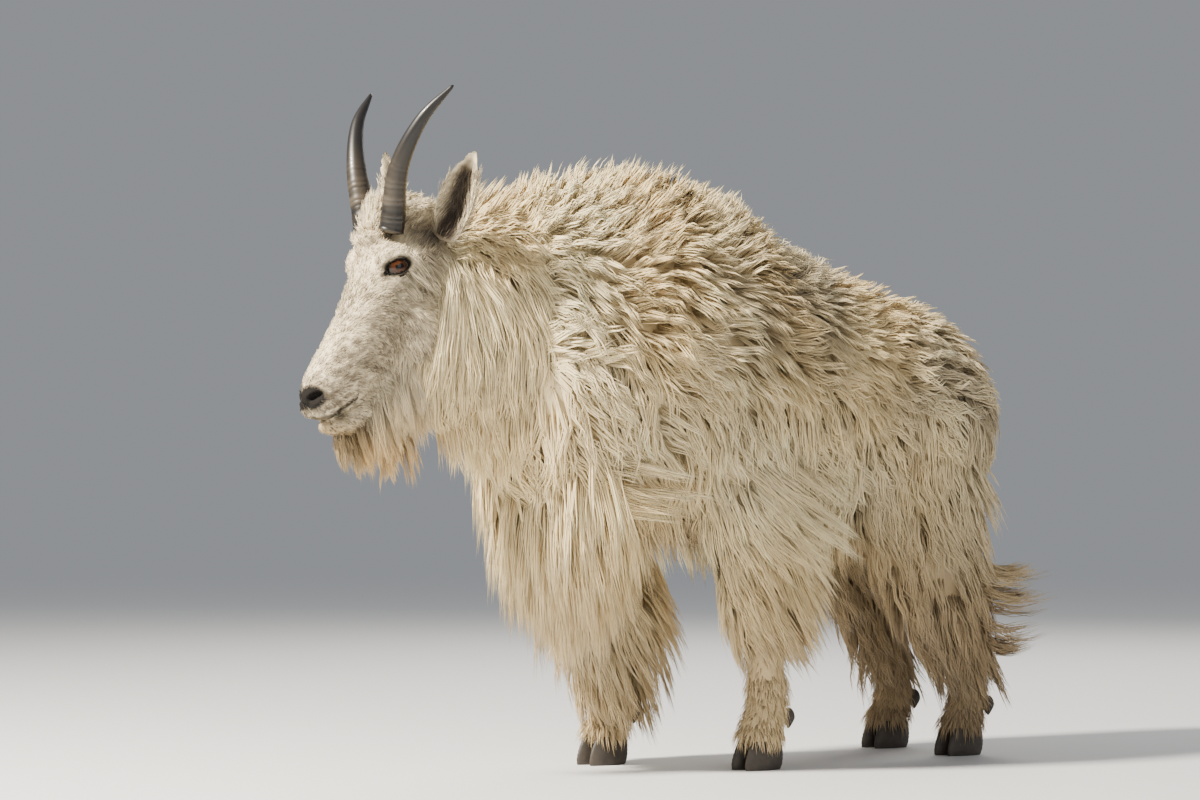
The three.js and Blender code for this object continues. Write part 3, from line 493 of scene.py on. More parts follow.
# Materials of the coat: the painted colour, a fine change of tone, and soft wool shading.
def coat_material(name, roughness, bump, scale, sheen):
    mat = bpy.data.materials.new(name)
    mat.use_nodes = True
    nodes, links = mat.node_tree.nodes, mat.node_tree.links
    shader = nodes["Principled BSDF"]
    colour = nodes.new("ShaderNodeAttribute")
    colour.attribute_name = "coat_colour"
    place = nodes.new("ShaderNodeTexCoord")
    noise = nodes.new("ShaderNodeTexNoise")
    noise.inputs["Scale"].default_value = scale
    noise.inputs["Detail"].default_value = 4.0
    tone = nodes.new("ShaderNodeMapRange")
    tone.inputs["To Min"].default_value = 0.86
    tone.inputs["To Max"].default_value = 1.1
    mix = nodes.new("ShaderNodeMix")
    mix.data_type = "RGBA"
    mix.blend_type = "MULTIPLY"
    mix.inputs["Factor"].default_value = 1.0
    links.new(place.outputs["Object"], noise.inputs["Vector"])
    links.new(noise.outputs["Fac"], tone.inputs["Value"])
    links.new(colour.outputs["Color"], mix.inputs["A"])
    links.new(tone.outputs["Result"], mix.inputs["B"])
    links.new(mix.outputs["Result"], shader.inputs["Base Color"])
    if bump:
        height = nodes.new("ShaderNodeBump")
        height.inputs["Strength"].default_value = bump
        height.inputs["Distance"].default_value = 0.0012
        links.new(noise.outputs["Fac"], height.inputs["Height"])
        links.new(height.outputs["Normal"], shader.inputs["Normal"])
    shader.inputs["Roughness"].default_value = roughness
    shader.inputs["Sheen Weight"].default_value = sheen
    shader.inputs["Specular IOR Level"].default_value = 0.12
    return mat


skin.data.materials.clear()
skin.data.materials.append(coat_material("skin_fur", 0.85, 0.5, 420.0, 0.0))
hair_material = coat_material("wool", 0.72, 0, 60.0, 0.12)


def into_row(obj):
    """Moves a finished mesh from the body's frame into the row's, in metres."""
    obj.data.transform(Matrix.Translation(Vector(ROW)) @ Matrix.Scale(1 / PER_METRE, 4))
    obj.data.polygons.foreach_set("use_smooth", [True] * len(obj.data.polygons))
    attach(obj, "root")
    return obj


into_row(skin)
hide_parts("torso", "neck", "head", "tail", "ear_left", "ear_right",
            "leg_fore_left", "leg_fore_right", "leg_hind_left", "leg_hind_right")


# Long coat: the wool and guard hairs of the animal, rooted in its skin and drawn together in locks.
# A lock lies over its form, or hangs from it, and comes together towards its tip. Each of its strands is a
# closed three sided hair that is finer at its end.
PIECE_TRIANGLES = 195000


def strands(name, centres, outs, widths, colours, tips):
    """Joined mesh of strands; centres is strand by ring by place, and the last ring is the tip."""
    count, rings = centres.shape[:2]
    per = max(1, int(PIECE_TRIANGLES / (3 * (2 * (rings - 2) + 1) + 1)))
    for part, start in enumerate(range(0, count, per)):
        c, n = centres[start:start + per], outs[start:start + per]
        w, col, tip = widths[start:start + per], colours[start:start + per], tips[start:start + per]
        m = len(c)
        along = unit(np.gradient(c, axis=1))
        across = unit(np.cross(n[:, None, :], along))
        out = np.cross(along, across)
        s = np.linspace(0, 1, rings)
        shape = np.interp(s, [0, 0.25, 0.7, 1], [0.75, 1, 0.62, 0])
        half = (w[:, None] * shape / 2)[..., None]
        corners = [c[:, :-1] + across[:, :-1] * half[:, :-1],
                   c[:, :-1] - across[:, :-1] * half[:, :-1],
                   c[:, :-1] + out[:, :-1] * half[:, :-1] * 0.7]
        ring_points = np.stack(corners, 2).reshape(m, (rings - 1) * 3, 3)
        verts = np.concatenate([ring_points, c[:, -1:]], 1)
        faces = [(0, 1, 2)]
        for r in range(rings - 2):
            for k in range(3):
                a, b = r * 3 + k, r * 3 + (k + 1) % 3
                faces += [(a, b + 3, b), (a, a + 3, b + 3)]
        last = (rings - 2) * 3
        faces += [(last + k, last + 3, last + (k + 1) % 3) for k in range(3)]
        faces = np.array(faces)
        size = verts.shape[1]
        index = (faces[None] + (np.arange(m) * size)[:, None, None]).reshape(-1, 3)
        mesh = bpy.data.meshes.new(f"{name}_{part + 1}")
        mesh.vertices.add(m * size)
        mesh.vertices.foreach_set("co", verts.astype(np.float32).ravel())
        mesh.loops.add(index.size)
        mesh.loops.foreach_set("vertex_index", index.astype(np.int32).ravel())
        mesh.polygons.add(len(index))
        mesh.polygons.foreach_set("loop_start", np.arange(0, index.size, 3, dtype=np.int32))
        level = np.append(np.repeat(s[:-1], 3), 1.0)
        tone = col[:, None] + (tip - col)[:, None] * (level[None, :, None] ** 1.5)
        # Painted shade: each strand is darker towards its root, deep in the coat where shade falls.
        tone = tone * (0.76 + 0.30 * level[None, :, None])
        paint(mesh, np.clip(tone.reshape(-1, 3), DARKEST, PALEST))
        base = bake_place(c[:, 1], n)
        corner = np.append(np.tile([0.0, 1.0, 0.5], rings - 1), 0.5)
        patch = np.stack([corner * PATCH, level * PATCH], 1)
        uv = (base[:, None] + patch[None] - PATCH / 2).reshape(-1, 2)[index.ravel()]
        mesh.uv_layers.new(name="OFBake").data.foreach_set("uv", uv.astype(np.float32).ravel())
        mesh.update(calc_edges=True)
        mesh.materials.append(hair_material)
        into_row(linked(mesh.name, mesh))


def spread(centres, outs, lock_radius, each, dice, wave, wave_size, closing):
    """Strands of each lock, apart at the root and closer at the tip, in one wave with some of their own."""
    locks, rings = centres.shape[:2]
    s = np.linspace(0, 1, rings)
    along = unit(centres[:, -1] - centres[:, 0])
    across = unit(np.cross(outs, along))
    phase = dice.uniform(0, 2 * math.pi, locks)
    swing = np.sin(s[None] * wave * 2 * math.pi + phase[:, None]) * s[None] ** 0.5 * wave_size
    middle = centres + across[:, None] * swing[..., None]
    turn = dice.uniform(0, 2 * math.pi, (locks, each))
    reach = np.sqrt(dice.uniform(0, 1, (locks, each))) * lock_radius
    start = across[:, None] * (np.cos(turn) * reach)[..., None]
    start = start + along[:, None] * (np.sin(turn) * reach)[..., None]
    loose = dice.choice([1.0, 2.4], (locks, each, 1), p=[0.84, 0.16])
    own = dice.normal(0, 0.15, (locks, each, rings)) * lock_radius * s[None, None] * loose
    cut = dice.uniform(0.78, 1.0, (locks, each))
    made = middle[:, None] + start[:, :, None] * (1 - closing * s**0.9)[None, None, :, None]
    made = made + across[:, None, None] * own[..., None]
    made = made + outs[:, None, None] * (own[:, :, ::-1] * 0.7)[..., None]
    made = made[:, :, :1] + (made - made[:, :, :1]) * cut[..., None, None]
    return made.reshape(-1, rings, 3), np.repeat(outs, each, axis=0)


# Roots further from the skin than ROOT_REACH are left out, and strands stay FLOOR_GAP above the floor.
ROOT_REACH = 15
FLOOR_GAP = 6.0


def grow(name, form, count, t_span, length, each, lock_radius, width, seed,
         turn_span=(0, 2 * math.pi), along=-0.6, round_share=0.8, fall=None, bend=(0, 0, 0), rings=4,
         wave=1.6, wave_size=4.0, stand=0.9, sway=0.3, closing=0.6, within=None, kind=0):
    """Locks over one form: lying along and round it, or hanging by fall, from t_span and turn_span."""
    dice = np.random.default_rng(seed)
    rows = np.array(FORMS[form]["rows"], float)
    t = dice.uniform(*t_span, count * 3)
    turn = dice.uniform(*turn_span, count * 3)
    left, right = (form_point(form, t, q, 0) for q in (math.pi / 2, -math.pi / 2))
    girth = np.linalg.norm(left - right, axis=1)
    root = form_point(form, t, turn, 0)
    keep = dice.uniform(0, 1, len(t)) < girth / girth.max()
    if within is not None:
        keep &= within(root)
    if kind == 0:
        near = [skin_tree.find_nearest(Vector(p)) for p in root]
        keep &= np.array([q[3] for q in near]) < ROOT_REACH
        root = np.array([q[0] for q in near])
    t, turn, root = t[keep][:count], turn[keep][:count], root[keep][:count]
    out = form_normal(form, t, turn)
    depth = along_rows(rows, t)[:, 7]
    span = np.linalg.norm(np.diff(rows[:, :3], axis=0), axis=1).sum()
    long = length * dice.uniform(0.75, 1.25, len(t))
    side_sway = sway * (2 * waves(root, 70, seed + 1) - 1) + dice.normal(0, 0.08, len(t))
    s = np.linspace(0, 1, rings)
    layer = dice.uniform(0.55, 1.05, len(t)) * stand
    lift = np.interp(s, [0, 0.25, 0.6, 1], [-0.06, 0.34, 0.72, 1.0])
    centres = np.zeros((len(t), rings, 3))
    for k in range(rings):
        if fall is None:
            reach = 60.0 if FORMS[form].get("head") else np.maximum(
                60, np.linalg.norm(root - along_rows(rows, t)[:, :3], axis=1))
            step_t = np.clip(t + (along + 0.6 * side_sway) * long * s[k] / span, 0.004, 0.996)
            side = np.sin(turn)
            way = np.sign(side) * np.minimum(1, 0.4 + np.abs(side)) * np.abs(side) ** 0.5
            step_a = turn + (way * round_share + side_sway) * long * s[k] / reach
            centres[:, k] = form_point(form, step_t, step_a, lift[k] * layer)
        else:
            drift = np.stack([side_sway, -side_sway * 0.5, 0 * side_sway], 1) * 0.5
            way = unit(np.array(fall, float) + drift)
            path = root + way * (long * s[k])[:, None] + np.array(bend) * (long * s[k] ** 2)[:, None]
            centres[:, k] = path + out * (depth * lift[k] * layer * (1.2 - 0.4 * s[k]))[:, None]
    centres[..., 2] = np.maximum(centres[..., 2], FLOOR_GAP)
    made, outs = spread(centres, out, lock_radius, each, dice, wave, wave_size, closing)
    members = np.full(len(root), kind)
    shade = np.repeat(dice.normal(1, 0.05, (len(root), 1)), each, axis=0)
    shade = shade * dice.normal(1, 0.05, (len(made), 1))
    colour = np.repeat(markings_and_shade(root, members), each, axis=0) * shade
    end = np.repeat(markings_and_shade(centres[:, -1], members, tips=True), each, axis=0) * shade * 1.03
    strands(name, made, outs, width * dice.uniform(0.7, 1.25, len(made)), colour, end)


# Coat of the trunk and neck: woolly locks rooted in the skin, which lie back and down over the body.
# Those of the throat, breast and belly hang straight down by their own weight.
grow("coat_hump", "torso", count=1850, t_span=(0.5, 0.99), length=54, each=6, lock_radius=9.5, width=3.1,
     seed=11, turn_span=(-1.5, 1.5), along=-0.45, round_share=0.35, wave=1.2, wave_size=4, stand=1.05,
     sway=0.4, closing=0.45)
grow("coat_rump", "torso", count=1250, t_span=(0.01, 0.5), length=50, each=6, lock_radius=10, width=3.3,
     seed=12, turn_span=(-1.5, 1.5), along=-0.7, round_share=0.5, wave=1.7, wave_size=5, stand=0.95,
     sway=0.5, rings=5)
grow("coat_flank", "torso", count=2200, t_span=(0.02, 0.98), length=66, each=6, lock_radius=11, width=3.5,
     seed=13, turn_span=(1.3, 4.98), along=-0.42, round_share=0.85, wave=1.8, wave_size=6, sway=0.5,
     rings=5)
grow("coat_neck", "neck", count=1200, t_span=(0.02, 0.985), length=84, each=7, lock_radius=10, width=2.4,
     seed=14, along=-0.5, round_share=0.85, wave=1.0, wave_size=4, stand=0.85, sway=0.25, closing=0.4)
grow("coat_nape", "neck", count=280, t_span=(0.2, 0.985), length=50, each=6, lock_radius=9, width=2.8,
     seed=33, turn_span=(-1.1, 1.1), along=-0.3, round_share=0.4, wave=1.0, wave_size=3, stand=1.25,
     sway=0.3, closing=0.45)
grow("coat_throat", "neck", count=110, t_span=(0.1, 0.6), length=75, each=8, lock_radius=11, width=2.6,
     seed=24, turn_span=(2.0, 4.3), fall=(-0.1, 0, -1), wave=0.9, stand=0.5, sway=0.12, closing=0.4)
grow("coat_breast", "breast", count=470, t_span=(0.05, 0.93), length=130, each=8, lock_radius=12, width=2.6,
     seed=15, fall=(-0.12, 0, -1), wave=0.9, wave_size=3, sway=0.12, closing=0.45)
grow("coat_belly", "torso", count=240, t_span=(0.3, 0.93), length=76, each=7, lock_radius=11, width=2.8,
     seed=35, turn_span=(2.45, 3.83), fall=(-0.25, 0, -1), wave=1.0, stand=0.35, sway=0.3, closing=0.45)

# Long hair of the legs: locks that hang round each upper leg and end above the hoof.
# They are rooted in the leg's skin, and sweep back a little towards their ends.
grow("coat_fore_left", "fore_left", count=400, t_span=(0.05, 0.47), length=86, each=8, lock_radius=10,
     width=2.5, seed=16, fall=(-0.15, 0, -1), bend=(-0.25, 0.05, 0), wave=0.9,
     sway=0.2, closing=0.5)
grow("coat_fore_right", "fore_right", count=510, t_span=(0.05, 0.62), length=88, each=8, lock_radius=10,
     width=2.5, seed=17, fall=(-0.02, 0, -1), bend=(-0.15, 0.05, 0), wave=0.9,
     sway=0.2, closing=0.5)
grow("coat_hind_left", "hind_left", count=430, t_span=(0.05, 0.56), length=84, each=8, lock_radius=11,
     width=2.7, seed=18, fall=(-0.12, 0, -1), bend=(-0.15, 0.03, 0), wave=1.6,
     wave_size=5, sway=0.35, closing=0.5, rings=5)
grow("coat_hind_right", "hind_right", count=330, t_span=(0.05, 0.56), length=80, each=8, lock_radius=11,
     width=2.7, seed=19, fall=(-0.12, 0, -1), bend=(-0.15, 0.03, 0), wave=1.6,
     wave_size=5, sway=0.35, closing=0.5, rings=5)

# Loose locks: long hair swept back across the breast and at the left elbow, curled wisps behind the left
# hind leg, and the short tail, whose hair hangs down. They are rooted in the skin like the rest.
grow("coat_ridge_front", "breast", count=80, t_span=(0.1, 0.7), length=105, each=9, lock_radius=12,
     width=1.9, seed=25, fall=(-0.75, 0.5, -0.15), bend=(-0.2, 0, 0), wave=0.8, stand=1.2,
     within=lambda p: (p[:, 1] > 20) & (p[:, 2] > 385) & (p[:, 2] < 450), rings=5)
grow("coat_ridge_elbow", "fore_left", count=120, t_span=(0.02, 0.5), length=100, each=9, lock_radius=12,
     width=2.0, seed=26, fall=(-0.7, 0.25, -0.7), bend=(-0.25, 0, -0.1), wave=0.8,
     within=lambda p: (p[:, 1] > 120) & (p[:, 2] > 350) & (p[:, 2] < 450), rings=5)
grow("coat_wisps", "hind_left", count=44, t_span=(0.26, 0.5), length=112, each=10, lock_radius=13,
     width=1.8, seed=27, turn_span=(2.2, 3.6), fall=(-0.1, 0.15, -1),
     bend=(-0.5, 0.25, 0.75), wave=0.6, rings=6, closing=0.8)
grow("coat_tail", "tail", count=90, t_span=(0.1, 0.9), length=60, each=8, lock_radius=8, width=2.2, seed=20,
     fall=(0.05, 0, -1))

# Long hair of the head: the beard, the fringes of jaw and cheek, the tuft on the chin and the one between
# the horns. Its strands are finer than the body's, and rooted in the skin of the head.
grow("coat_beard", "beard", count=280, t_span=(0.04, 0.85), length=52, each=9, lock_radius=7, width=1.6,
     seed=21, fall=(-0.05, 0, -1), wave=0.9, wave_size=3, sway=0.12, kind=1)
grow("coat_jaw", "jaw", count=190, t_span=(0.05, 0.85), length=66, each=8, lock_radius=6, width=1.4,
     seed=28, turn_span=(1.7, 4.6), fall=(-0.2, 0, -1), wave=0.8, wave_size=2,
     sway=0.25, kind=1)
grow("coat_whiskers", "jaw", count=170, t_span=(0.0, 0.6), length=84, each=8, lock_radius=7, width=1.4,
     seed=34, fall=(-0.08, 0, -1), wave=0.9, wave_size=3, stand=3.0, sway=0.2,
     kind=1)
grow("coat_cheek", "skull", count=240, t_span=(0.02, 0.42), length=52, each=7, lock_radius=8, width=1.6,
     seed=29, turn_span=(1.2, 5.1), fall=(-0.75, 0, -0.7), wave=0.8, wave_size=3,
     stand=1.8, kind=1)
grow("coat_chin", "chin", count=70, t_span=(0.1, 0.7), length=34, each=9, lock_radius=7, width=1.2,
     seed=22, fall=(-0.4, 0, -1), wave=0.6, wave_size=2, sway=0.35, kind=1)
grow("coat_poll", "poll", count=210, t_span=(0.1, 0.97), length=28, each=8, lock_radius=6, width=1.5,
     seed=23, turn_span=(-1.5, 1.5), along=0.6, round_share=0.1, wave=0.8,
     wave_size=2, closing=0.4, kind=1)
grow("coat_forelock", "poll", count=60, t_span=(0.1, 0.42), length=28, each=10, lock_radius=7, width=1.2,
     seed=30, turn_span=(-0.9, 0.9), fall=(-0.35, 0, 1), wave=0.8, wave_size=2,
     closing=0.3, kind=1)


# Short coat: the fine hair of the face, ears and lower legs, which lies back from the nose and down the legs.
# Single hairs are rooted over the skin's own triangles, so they are as close together on every side.
def short_coat(name, count, length, width, wanted, lie, kind, seed, lift=0.22):
    dice = np.random.default_rng(seed)
    chosen = tris[wanted(points[tris].mean(1))]
    chosen = chosen[(chosen >= len(points) - head_points).all(1) == bool(kind)]
    a, b, c = (points[chosen[:, k]] for k in range(3))
    cross = np.cross(b - a, c - a)
    area = np.linalg.norm(cross, axis=1)
    pick = dice.choice(len(chosen), count, p=area / area.sum())
    u, v = dice.uniform(0, 1, (2, count))
    flip = u + v > 1
    u, v = np.where(flip, 1 - u, u), np.where(flip, 1 - v, v)
    root = a[pick] + (b - a)[pick] * u[:, None] + (c - a)[pick] * v[:, None]
    out = cross[pick] / np.maximum(area[pick], 1e-9)[:, None]
    way = lie(root)
    way = unit(way - out * (way * out).sum(1)[:, None] + dice.normal(0, 0.12, (count, 3)))
    long = length(root) * dice.uniform(0.75, 1.25, count)
    s = np.linspace(0, 1, 3)
    rise = np.array([-0.08, 0.75, 1.0])
    centres = root[:, None] + way[:, None] * (long[:, None] * s)[..., None] \
        + out[:, None] * (long[:, None] * lift * rise)[..., None]
    colour = markings_and_shade(root, np.full(count, kind)) * dice.normal(1, 0.07, (count, 1))
    if kind:
        h = head_local(root) * (1, 0, 1)
        share = np.maximum.reduce([near_spot(h, (84, 0, -246), (62, 1, 50)) * 0.6,
                                   near_spot(h, (30, 0, -130), (46, 1, 90)) * 0.34, 0.07 + 0 * h[:, 0]])
        dark = dice.uniform(0, 1, count) < share * 1.6 * waves(root, 14, 13)
        colour[dark] = colour[dark] * 0.45 + SPECKLE * 0.3
    strands(name, centres, out, width * dice.uniform(0.8, 1.2, count), colour, colour * 1.03)


def face_kept(p):
    """Where the face grows short hair: not on the eyes, the nostrils or the mouth's line."""
    h = head_local(p)
    keep = h[:, 2] < 60
    for side in (1, -1):
        slit, out, rise = eye_axes(side)
        rel = h - EYE * (1, side, 1)
        keep &= ((rel @ slit / 18) ** 2 + (rel @ rise / 12.5) ** 2 > 1) | (rel @ out < -2)
        keep &= (((h - (111, side * 15, -240)) / (19, 14, 13)) ** 2).sum(1) > 1
    keep &= (np.abs(h[:, 2] - mouth_line(h[:, 0])) > 4.5) | (h[:, 0] < MOUTH_CORNER)
    return keep


NOSE_TIP = np.array([118.0, 0.0, -238.0])
UP_EAR = np.array([-0.2, 0.42, 0.9])
DOWN_CHEEK = np.array([-0.45, 0.0, -0.9])


def face_lie(p):
    """Which way the short hair lies: back from the nose, down the cheeks and up the ears."""
    h = head_local(p)
    away = unit(h - NOSE_TIP)
    down = np.clip((-60 - h[:, 2]) / 90, 0, 1) * np.clip((70 - h[:, 0]) / 80, 0, 1)
    way = away * (1 - down)[:, None] + DOWN_CHEEK * down[:, None]
    ears = (np.abs(h[:, 1]) > 60) & (h[:, 2] > -18) & (h[:, 0] < -40)
    way = np.where(ears[:, None], UP_EAR * np.where(h[:, 1:2] < 0, (1, -1, 1), (1, 1, 1)), way)
    return way @ np.array(HEAD_TURN).T


def face_length(p):
    """How long the short hair is: least on the muzzle and round the eyes."""
    h = head_local(p)
    from_eye = np.linalg.norm(h * (1, 0, 1) - EYE * (1, 0, 1), axis=1)
    long = 5 + 7 * np.clip((90 - h[:, 0]) / 110, 0, 1) + 7 * np.clip((-h[:, 0] - 25) / 50, 0, 1)
    return long * np.clip((from_eye - 8) / 38, 0.3, 1)


short_coat("coat_face", count=16000, length=face_length, width=1.15, wanted=face_kept, lie=face_lie, kind=1,
           seed=31)

# Three bands of each lower leg: from and up to which height, and how long the hair is.
SHANK_BANDS = ((34, 64, 25), (50, 130, 16), (110, 240, 24))
for number, (low, high, reach) in enumerate(SHANK_BANDS, 1):
    short_coat(f"coat_shank_{number}", count=2200, length=lambda p: np.full(len(p), float(reach)), width=1.9,
               wanted=lambda p: (p[:, 2] > low) & (p[:, 2] < high) & (np.abs(p[:, 1]) > 60),
               lie=lambda p: np.tile([-0.12, 0.0, -1.0], (len(p), 1)), kind=0,
               seed=40 + number, lift=0.3)

# Eyes: wet brown balls with a level slot of a pupil, each held deep between the lids of its socket.
# Their colours are laid by the way each point looks out from the eye's middle.
IRIS_BROWN = np.array([0.055, 0.018, 0.006])
PUPIL_BLACK = (0.002, 0.002, 0.002)
EYE_RIM = (0.010, 0.007, 0.005)
PUPIL_LONG, PUPIL_HIGH, IRIS_EDGE = 0.36, 0.2, 0.68


def plain_material(name, roughness, coat=0.0, bump=0.0, scale=300.0):
    mat = bpy.data.materials.new(name)
    mat.use_nodes = True
    nodes, links = mat.node_tree.nodes, mat.node_tree.links
    shader = nodes["Principled BSDF"]
    colour = nodes.new("ShaderNodeAttribute")
    colour.attribute_name = "coat_colour"
    links.new(colour.outputs["Color"], shader.inputs["Base Color"])
    if bump:
        place = nodes.new("ShaderNodeTexCoord")
        noise = nodes.new("ShaderNodeTexNoise")
        noise.inputs["Scale"].default_value = scale
        height = nodes.new("ShaderNodeBump")
        height.inputs["Strength"].default_value = bump
        height.inputs["Distance"].default_value = 0.001
        links.new(place.outputs["Object"], noise.inputs["Vector"])
        links.new(noise.outputs["Fac"], height.inputs["Height"])
        links.new(height.outputs["Normal"], shader.inputs["Normal"])
    shader.inputs["Roughness"].default_value = roughness
    shader.inputs["Coat Weight"].default_value = coat
    shader.inputs["Coat Roughness"].default_value = 0.04
    return mat


eye_material = plain_material("eye", 0.03, coat=0.3)
eye_material.node_tree.nodes["Principled BSDF"].inputs["Specular IOR Level"].default_value = 0.2
for side, side_name in ((1, "left"), (-1, "right")):
    eye = new_object(f"eye_ball_{side_name}", lambda bm: add_ball(
        bm, EYE * (1, side, 1), (EYE_RADIUS,) * 3, detail=96))
    h = head_local(coords(eye)) - EYE * (1, side, 1)
    slit, out, rise = eye_axes(side)
    a, d, b = h @ slit / EYE_RADIUS, h @ out / EYE_RADIUS, h @ rise / EYE_RADIUS
    edge = np.hypot(a, b)
    rays = 1 + 0.35 * np.sin(np.arctan2(b, a) * 31) * np.sin(edge * 14)
    colours = IRIS_BROWN * (rays * np.clip(1.5 - 1.5 * edge, 0.1, 1.2))[:, None]
    colours[(np.abs(a) / PUPIL_LONG) ** 4 + (np.abs(b) / PUPIL_HIGH) ** 4 < 1] = PUPIL_BLACK
    colours[(edge > IRIS_EDGE) | (d < 0)] = EYE_RIM
    paint(eye.data, np.clip(colours, 0.003, 1))
    eye.data.materials.append(eye_material)
    into_row(eye)
    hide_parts(f"eye_{side_name}")

# Horns: tapered sheaths of glossy black horn over bone, rooted in the skull and curved out and back.
# They are ringed and grey brown in the lower part. The rings are shaped in the surface and fade out upwards.
HORN_PATH = np.array([
    (0, 34.5, -18), (-2, 38.5, 2), (0, 58.5, 72), (-18, 88.5, 135), (-54, 112.5, 182)], float)
HORN_RADII = np.array([17, 16.2, 15, 13.6, 12, 10.2, 8.2, 5.6, 2.0])
HORN_BROWN = np.array([0.052, 0.041, 0.029])
HORN_BLACK = np.array([0.009, 0.008, 0.007])
HORN_RINGS, RINGED_SHARE, RING_HEIGHT = 19, 0.52, 0.45
horn_material = plain_material("horn", 0.4, coat=0.12, bump=0.05, scale=350.0)
horn_curve = along_rows(HORN_PATH, np.linspace(0, 1, 400))
horn_run = np.append(0, np.cumsum(np.linalg.norm(np.diff(horn_curve, axis=0), axis=1)))
horn_run /= horn_run[-1]


def horn_middle(t, side):
    """The middle of a horn at shares t of its length."""
    t = np.clip(t, 0, 1)
    return np.stack([np.interp(t, horn_run, horn_curve[:, k]) for k in range(3)], 1) * (1, side, 1)


for side, side_name in ((1, "left"), (-1, "right")):
    horn = new_object(f"horn_shape_{side_name}", lambda bm: bmesh.ops.create_uvsphere(
        bm, u_segments=48, v_segments=150, radius=1))
    co = coords(horn)
    t = np.arccos(np.clip(-co[:, 2], -1, 1)) / math.pi
    turn = np.arctan2(co[:, 1], co[:, 0])
    middle = horn_middle(t, side)
    tangent = unit(horn_middle(t + 0.01, side) - horn_middle(t - 0.01, side))
    across = unit(np.cross([1.0, 0, 0], tangent))
    front = np.cross(tangent, across)
    tip = np.sqrt(np.clip((1 - t) / 0.02, 0, 1)) * np.sqrt(np.clip(t / 0.02, 0, 1))
    swell = np.sin(t * math.pi * HORN_RINGS + 1.2 * np.sin(t * 60) + 0.3 * np.sin(turn))
    rings = 2 * np.abs(swell) ** 0.5 - 1
    rings = rings * np.clip((RINGED_SHARE - t) / 0.3, 0, 1)
    radius = (np.interp(t, np.linspace(0, 1, len(HORN_RADII)), HORN_RADII) + RING_HEIGHT * rings) * tip
    place = middle + front * (np.cos(turn) * radius * 1.06)[:, None]
    place = place + across * (np.sin(turn) * radius * 0.95)[:, None]
    horn.data.vertices.foreach_set("co", head_place(place).ravel())
    share = np.clip((t - 0.16) / 0.42, 0, 1)[:, None]
    tone = HORN_BROWN * (1 - share) + HORN_BLACK * share
    tone = tone * (1 + 0.65 * rings[:, None]) * np.clip(0.25 + (t - 0.15) * 12, 0.25, 1)[:, None]
    paint(horn.data, np.clip(tone, 0.008, 1))
    horn.data.materials.append(horn_material)
    into_row(horn)
    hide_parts(f"horn_{side_name}")

# Hooves and dewclaws: two horny claws to a foot, narrow at the toe and flat below, and two small ones behind.
# They are worn black keratin with low growth rings, each fitted to its solid's own box.
HOOF_DARK, HOOF_WORN = (0.02, 0.017, 0.014, 1), (0.075, 0.06, 0.047, 1)
hoof_material = bpy.data.materials.new("hoof")
hoof_material.use_nodes = True
hoof_nodes, hoof_links = hoof_material.node_tree.nodes, hoof_material.node_tree.links
hoof_place = hoof_nodes.new("ShaderNodeTexCoord")
hoof_noise = hoof_nodes.new("ShaderNodeTexNoise")
hoof_noise.inputs["Scale"].default_value = 90.0
hoof_ramp = hoof_nodes.new("ShaderNodeValToRGB")
hoof_ramp.color_ramp.elements[0].color = HOOF_DARK
hoof_ramp.color_ramp.elements[1].color = HOOF_WORN
hoof_links.new(hoof_place.outputs["Object"], hoof_noise.inputs["Vector"])
hoof_links.new(hoof_noise.outputs["Fac"], hoof_ramp.inputs["Fac"])
hoof_links.new(hoof_ramp.outputs["Color"], hoof_nodes["Principled BSDF"].inputs["Base Color"])
hoof_nodes["Principled BSDF"].inputs["Roughness"].default_value = 0.55
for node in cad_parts:
    if not node.startswith(("hoof", "dewclaw")):
        continue
    low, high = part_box(node)
    toe, size = (low + high) / 2, high - low
    claw = new_object(f"{node}_horny", lambda bm: bmesh.ops.create_uvsphere(
        bm, u_segments=40, v_segments=28, radius=1))
    co = coords(claw)
    if node.startswith("hoof"):
        level = np.clip(0.5 + 0.62 * co[:, 2], 0, 1)
        round_off = np.maximum(np.hypot(co[:, 0], co[:, 1]), 1e-6)
        wall = round_off**0.3 / round_off
        lengthwise, sideways = co[:, 0] * wall, co[:, 1] * wall
        grooves = 1 + 0.012 * np.sin(level * 40) * (level > 0.1)
        x = lengthwise * (0.5 - 0.1 * level) * grooves - 0.1 * level
        y = sideways * 0.5 * (1 - 0.1 * level) * (1 - 0.32 * np.clip(lengthwise, 0, 1) ** 2) * grooves
        place = np.stack([x * size[0], y * size[1], (level - 0.5) * size[2]], 1)
    else:
        narrowing = np.where(co[:, 2:] < 0, 1 + 0.55 * co[:, 2:], 1) ** (1, 1, 0)
        place = co * np.array(size) / 2 * (1, 1, 1.15) * narrowing
    claw.data.vertices.foreach_set("co", ((place + np.array(toe) - ROW) * PER_METRE).ravel())
    claw.data.materials.append(hoof_material)
    into_row(claw)
    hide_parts(node)

# Floor, light and camera: a pale plain floor and backdrop, a high soft key light from the front left,
# a wide fill, a rim light from behind, and the photograph's view of the animal's left side from ahead.
SKY = (0.68, 0.71, 0.76, 1)
SKY_STRENGTH = 0.42
FLOOR_GREY, FLOOR_PALE = (0.70, 0.71, 0.73, 1), (0.74, 0.75, 0.77, 1)
HAZE_START, HAZE_END = 1.6, 9.0
floor = new_object("floor", lambda bm: bmesh.ops.create_grid(bm, x_segments=1, y_segments=1, size=30))
floor_material = bpy.data.materials.new("floor")
floor_material.use_nodes = True
floor_nodes, floor_links = floor_material.node_tree.nodes, floor_material.node_tree.links
floor_noise = floor_nodes.new("ShaderNodeTexNoise")
floor_ramp = floor_nodes.new("ShaderNodeValToRGB")
floor_ramp.color_ramp.elements[0].color = FLOOR_GREY
floor_ramp.color_ramp.elements[1].color = FLOOR_PALE
floor_links.new(floor_noise.outputs["Fac"], floor_ramp.inputs["Fac"])
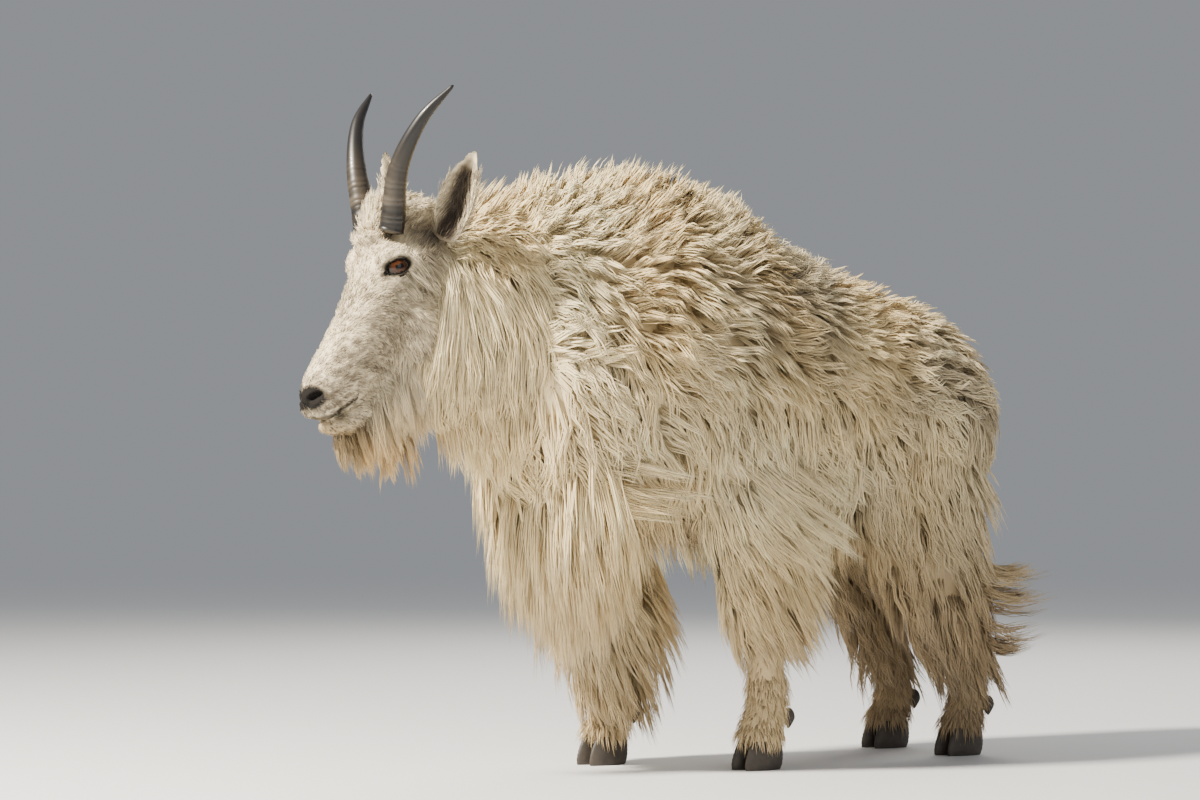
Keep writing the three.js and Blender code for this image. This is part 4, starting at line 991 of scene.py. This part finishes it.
floor_links.new(floor_ramp.outputs["Color"], floor_nodes["Principled BSDF"].inputs["Base Color"])
floor_nodes["Principled BSDF"].inputs["Roughness"].default_value = 0.9
floor_place = floor_nodes.new("ShaderNodeTexCoord")
floor_reach = floor_nodes.new("ShaderNodeVectorMath")
floor_reach.operation = "LENGTH"
floor_far = floor_nodes.new("ShaderNodeMapRange")
floor_far.interpolation_type = "SMOOTHSTEP"
floor_far.inputs["From Min"].default_value = HAZE_START
floor_far.inputs["From Max"].default_value = HAZE_END
floor_haze = floor_nodes.new("ShaderNodeEmission")
floor_haze.inputs["Color"].default_value = SKY
floor_haze.inputs["Strength"].default_value = SKY_STRENGTH
floor_mix = floor_nodes.new("ShaderNodeMixShader")
floor_links.new(floor_place.outputs["Object"], floor_reach.inputs[0])
floor_links.new(floor_reach.outputs["Value"], floor_far.inputs["Value"])
floor_links.new(floor_far.outputs["Result"], floor_mix.inputs["Fac"])
floor_links.new(floor_nodes["Principled BSDF"].outputs["BSDF"], floor_mix.inputs[1])
floor_links.new(floor_haze.outputs["Emission"], floor_mix.inputs[2])
floor_links.new(floor_mix.outputs["Shader"], floor_nodes["Material Output"].inputs["Surface"])
floor.data.materials.append(floor_material)

world = bpy.data.worlds.new("studio")
world.use_nodes = True
world.node_tree.nodes["Background"].inputs["Color"].default_value = SKY
world.node_tree.nodes["Background"].inputs["Strength"].default_value = SKY_STRENGTH
bpy.context.scene.world = world
LIT_PLACE = Vector((0.1, 0, 0.5))
for light_name, place, energy, size, tint in (
        ("key", (3.0, -0.5, 3.2), 680, 0.5, (1.0, 0.92, 0.78)),
        ("fill", (2.0, 5.0, 1.6), 45, 3.0, (1.0, 0.95, 0.86)),
        ("rim", (-3.0, -2.0, 2.6), 90, 2.0, (1.0, 0.95, 0.86))):
    data = bpy.data.lights.new(light_name, "AREA")
    data.energy, data.size, data.color = energy, size, tint
    light = linked(light_name, data)
    light.location = place
    light.rotation_euler = (LIT_PLACE - Vector(place)).to_track_quat("-Z", "Y").to_euler()

CAMERA_PLACE = np.array([4891.0, 5202.0, 521.0])
CAMERA_WAY = Vector((-0.669, -0.743, 0.0))
camera_data = bpy.data.cameras.new("camera")
camera_data.lens, camera_data.sensor_width = 150, 36
camera_data.clip_end = 100
camera = linked("camera", camera_data)
camera.location = CAMERA_PLACE / PER_METRE + ROW
camera.rotation_euler = CAMERA_WAY.to_track_quat("-Z", "Y").to_euler()
bpy.context.scene.camera = camera
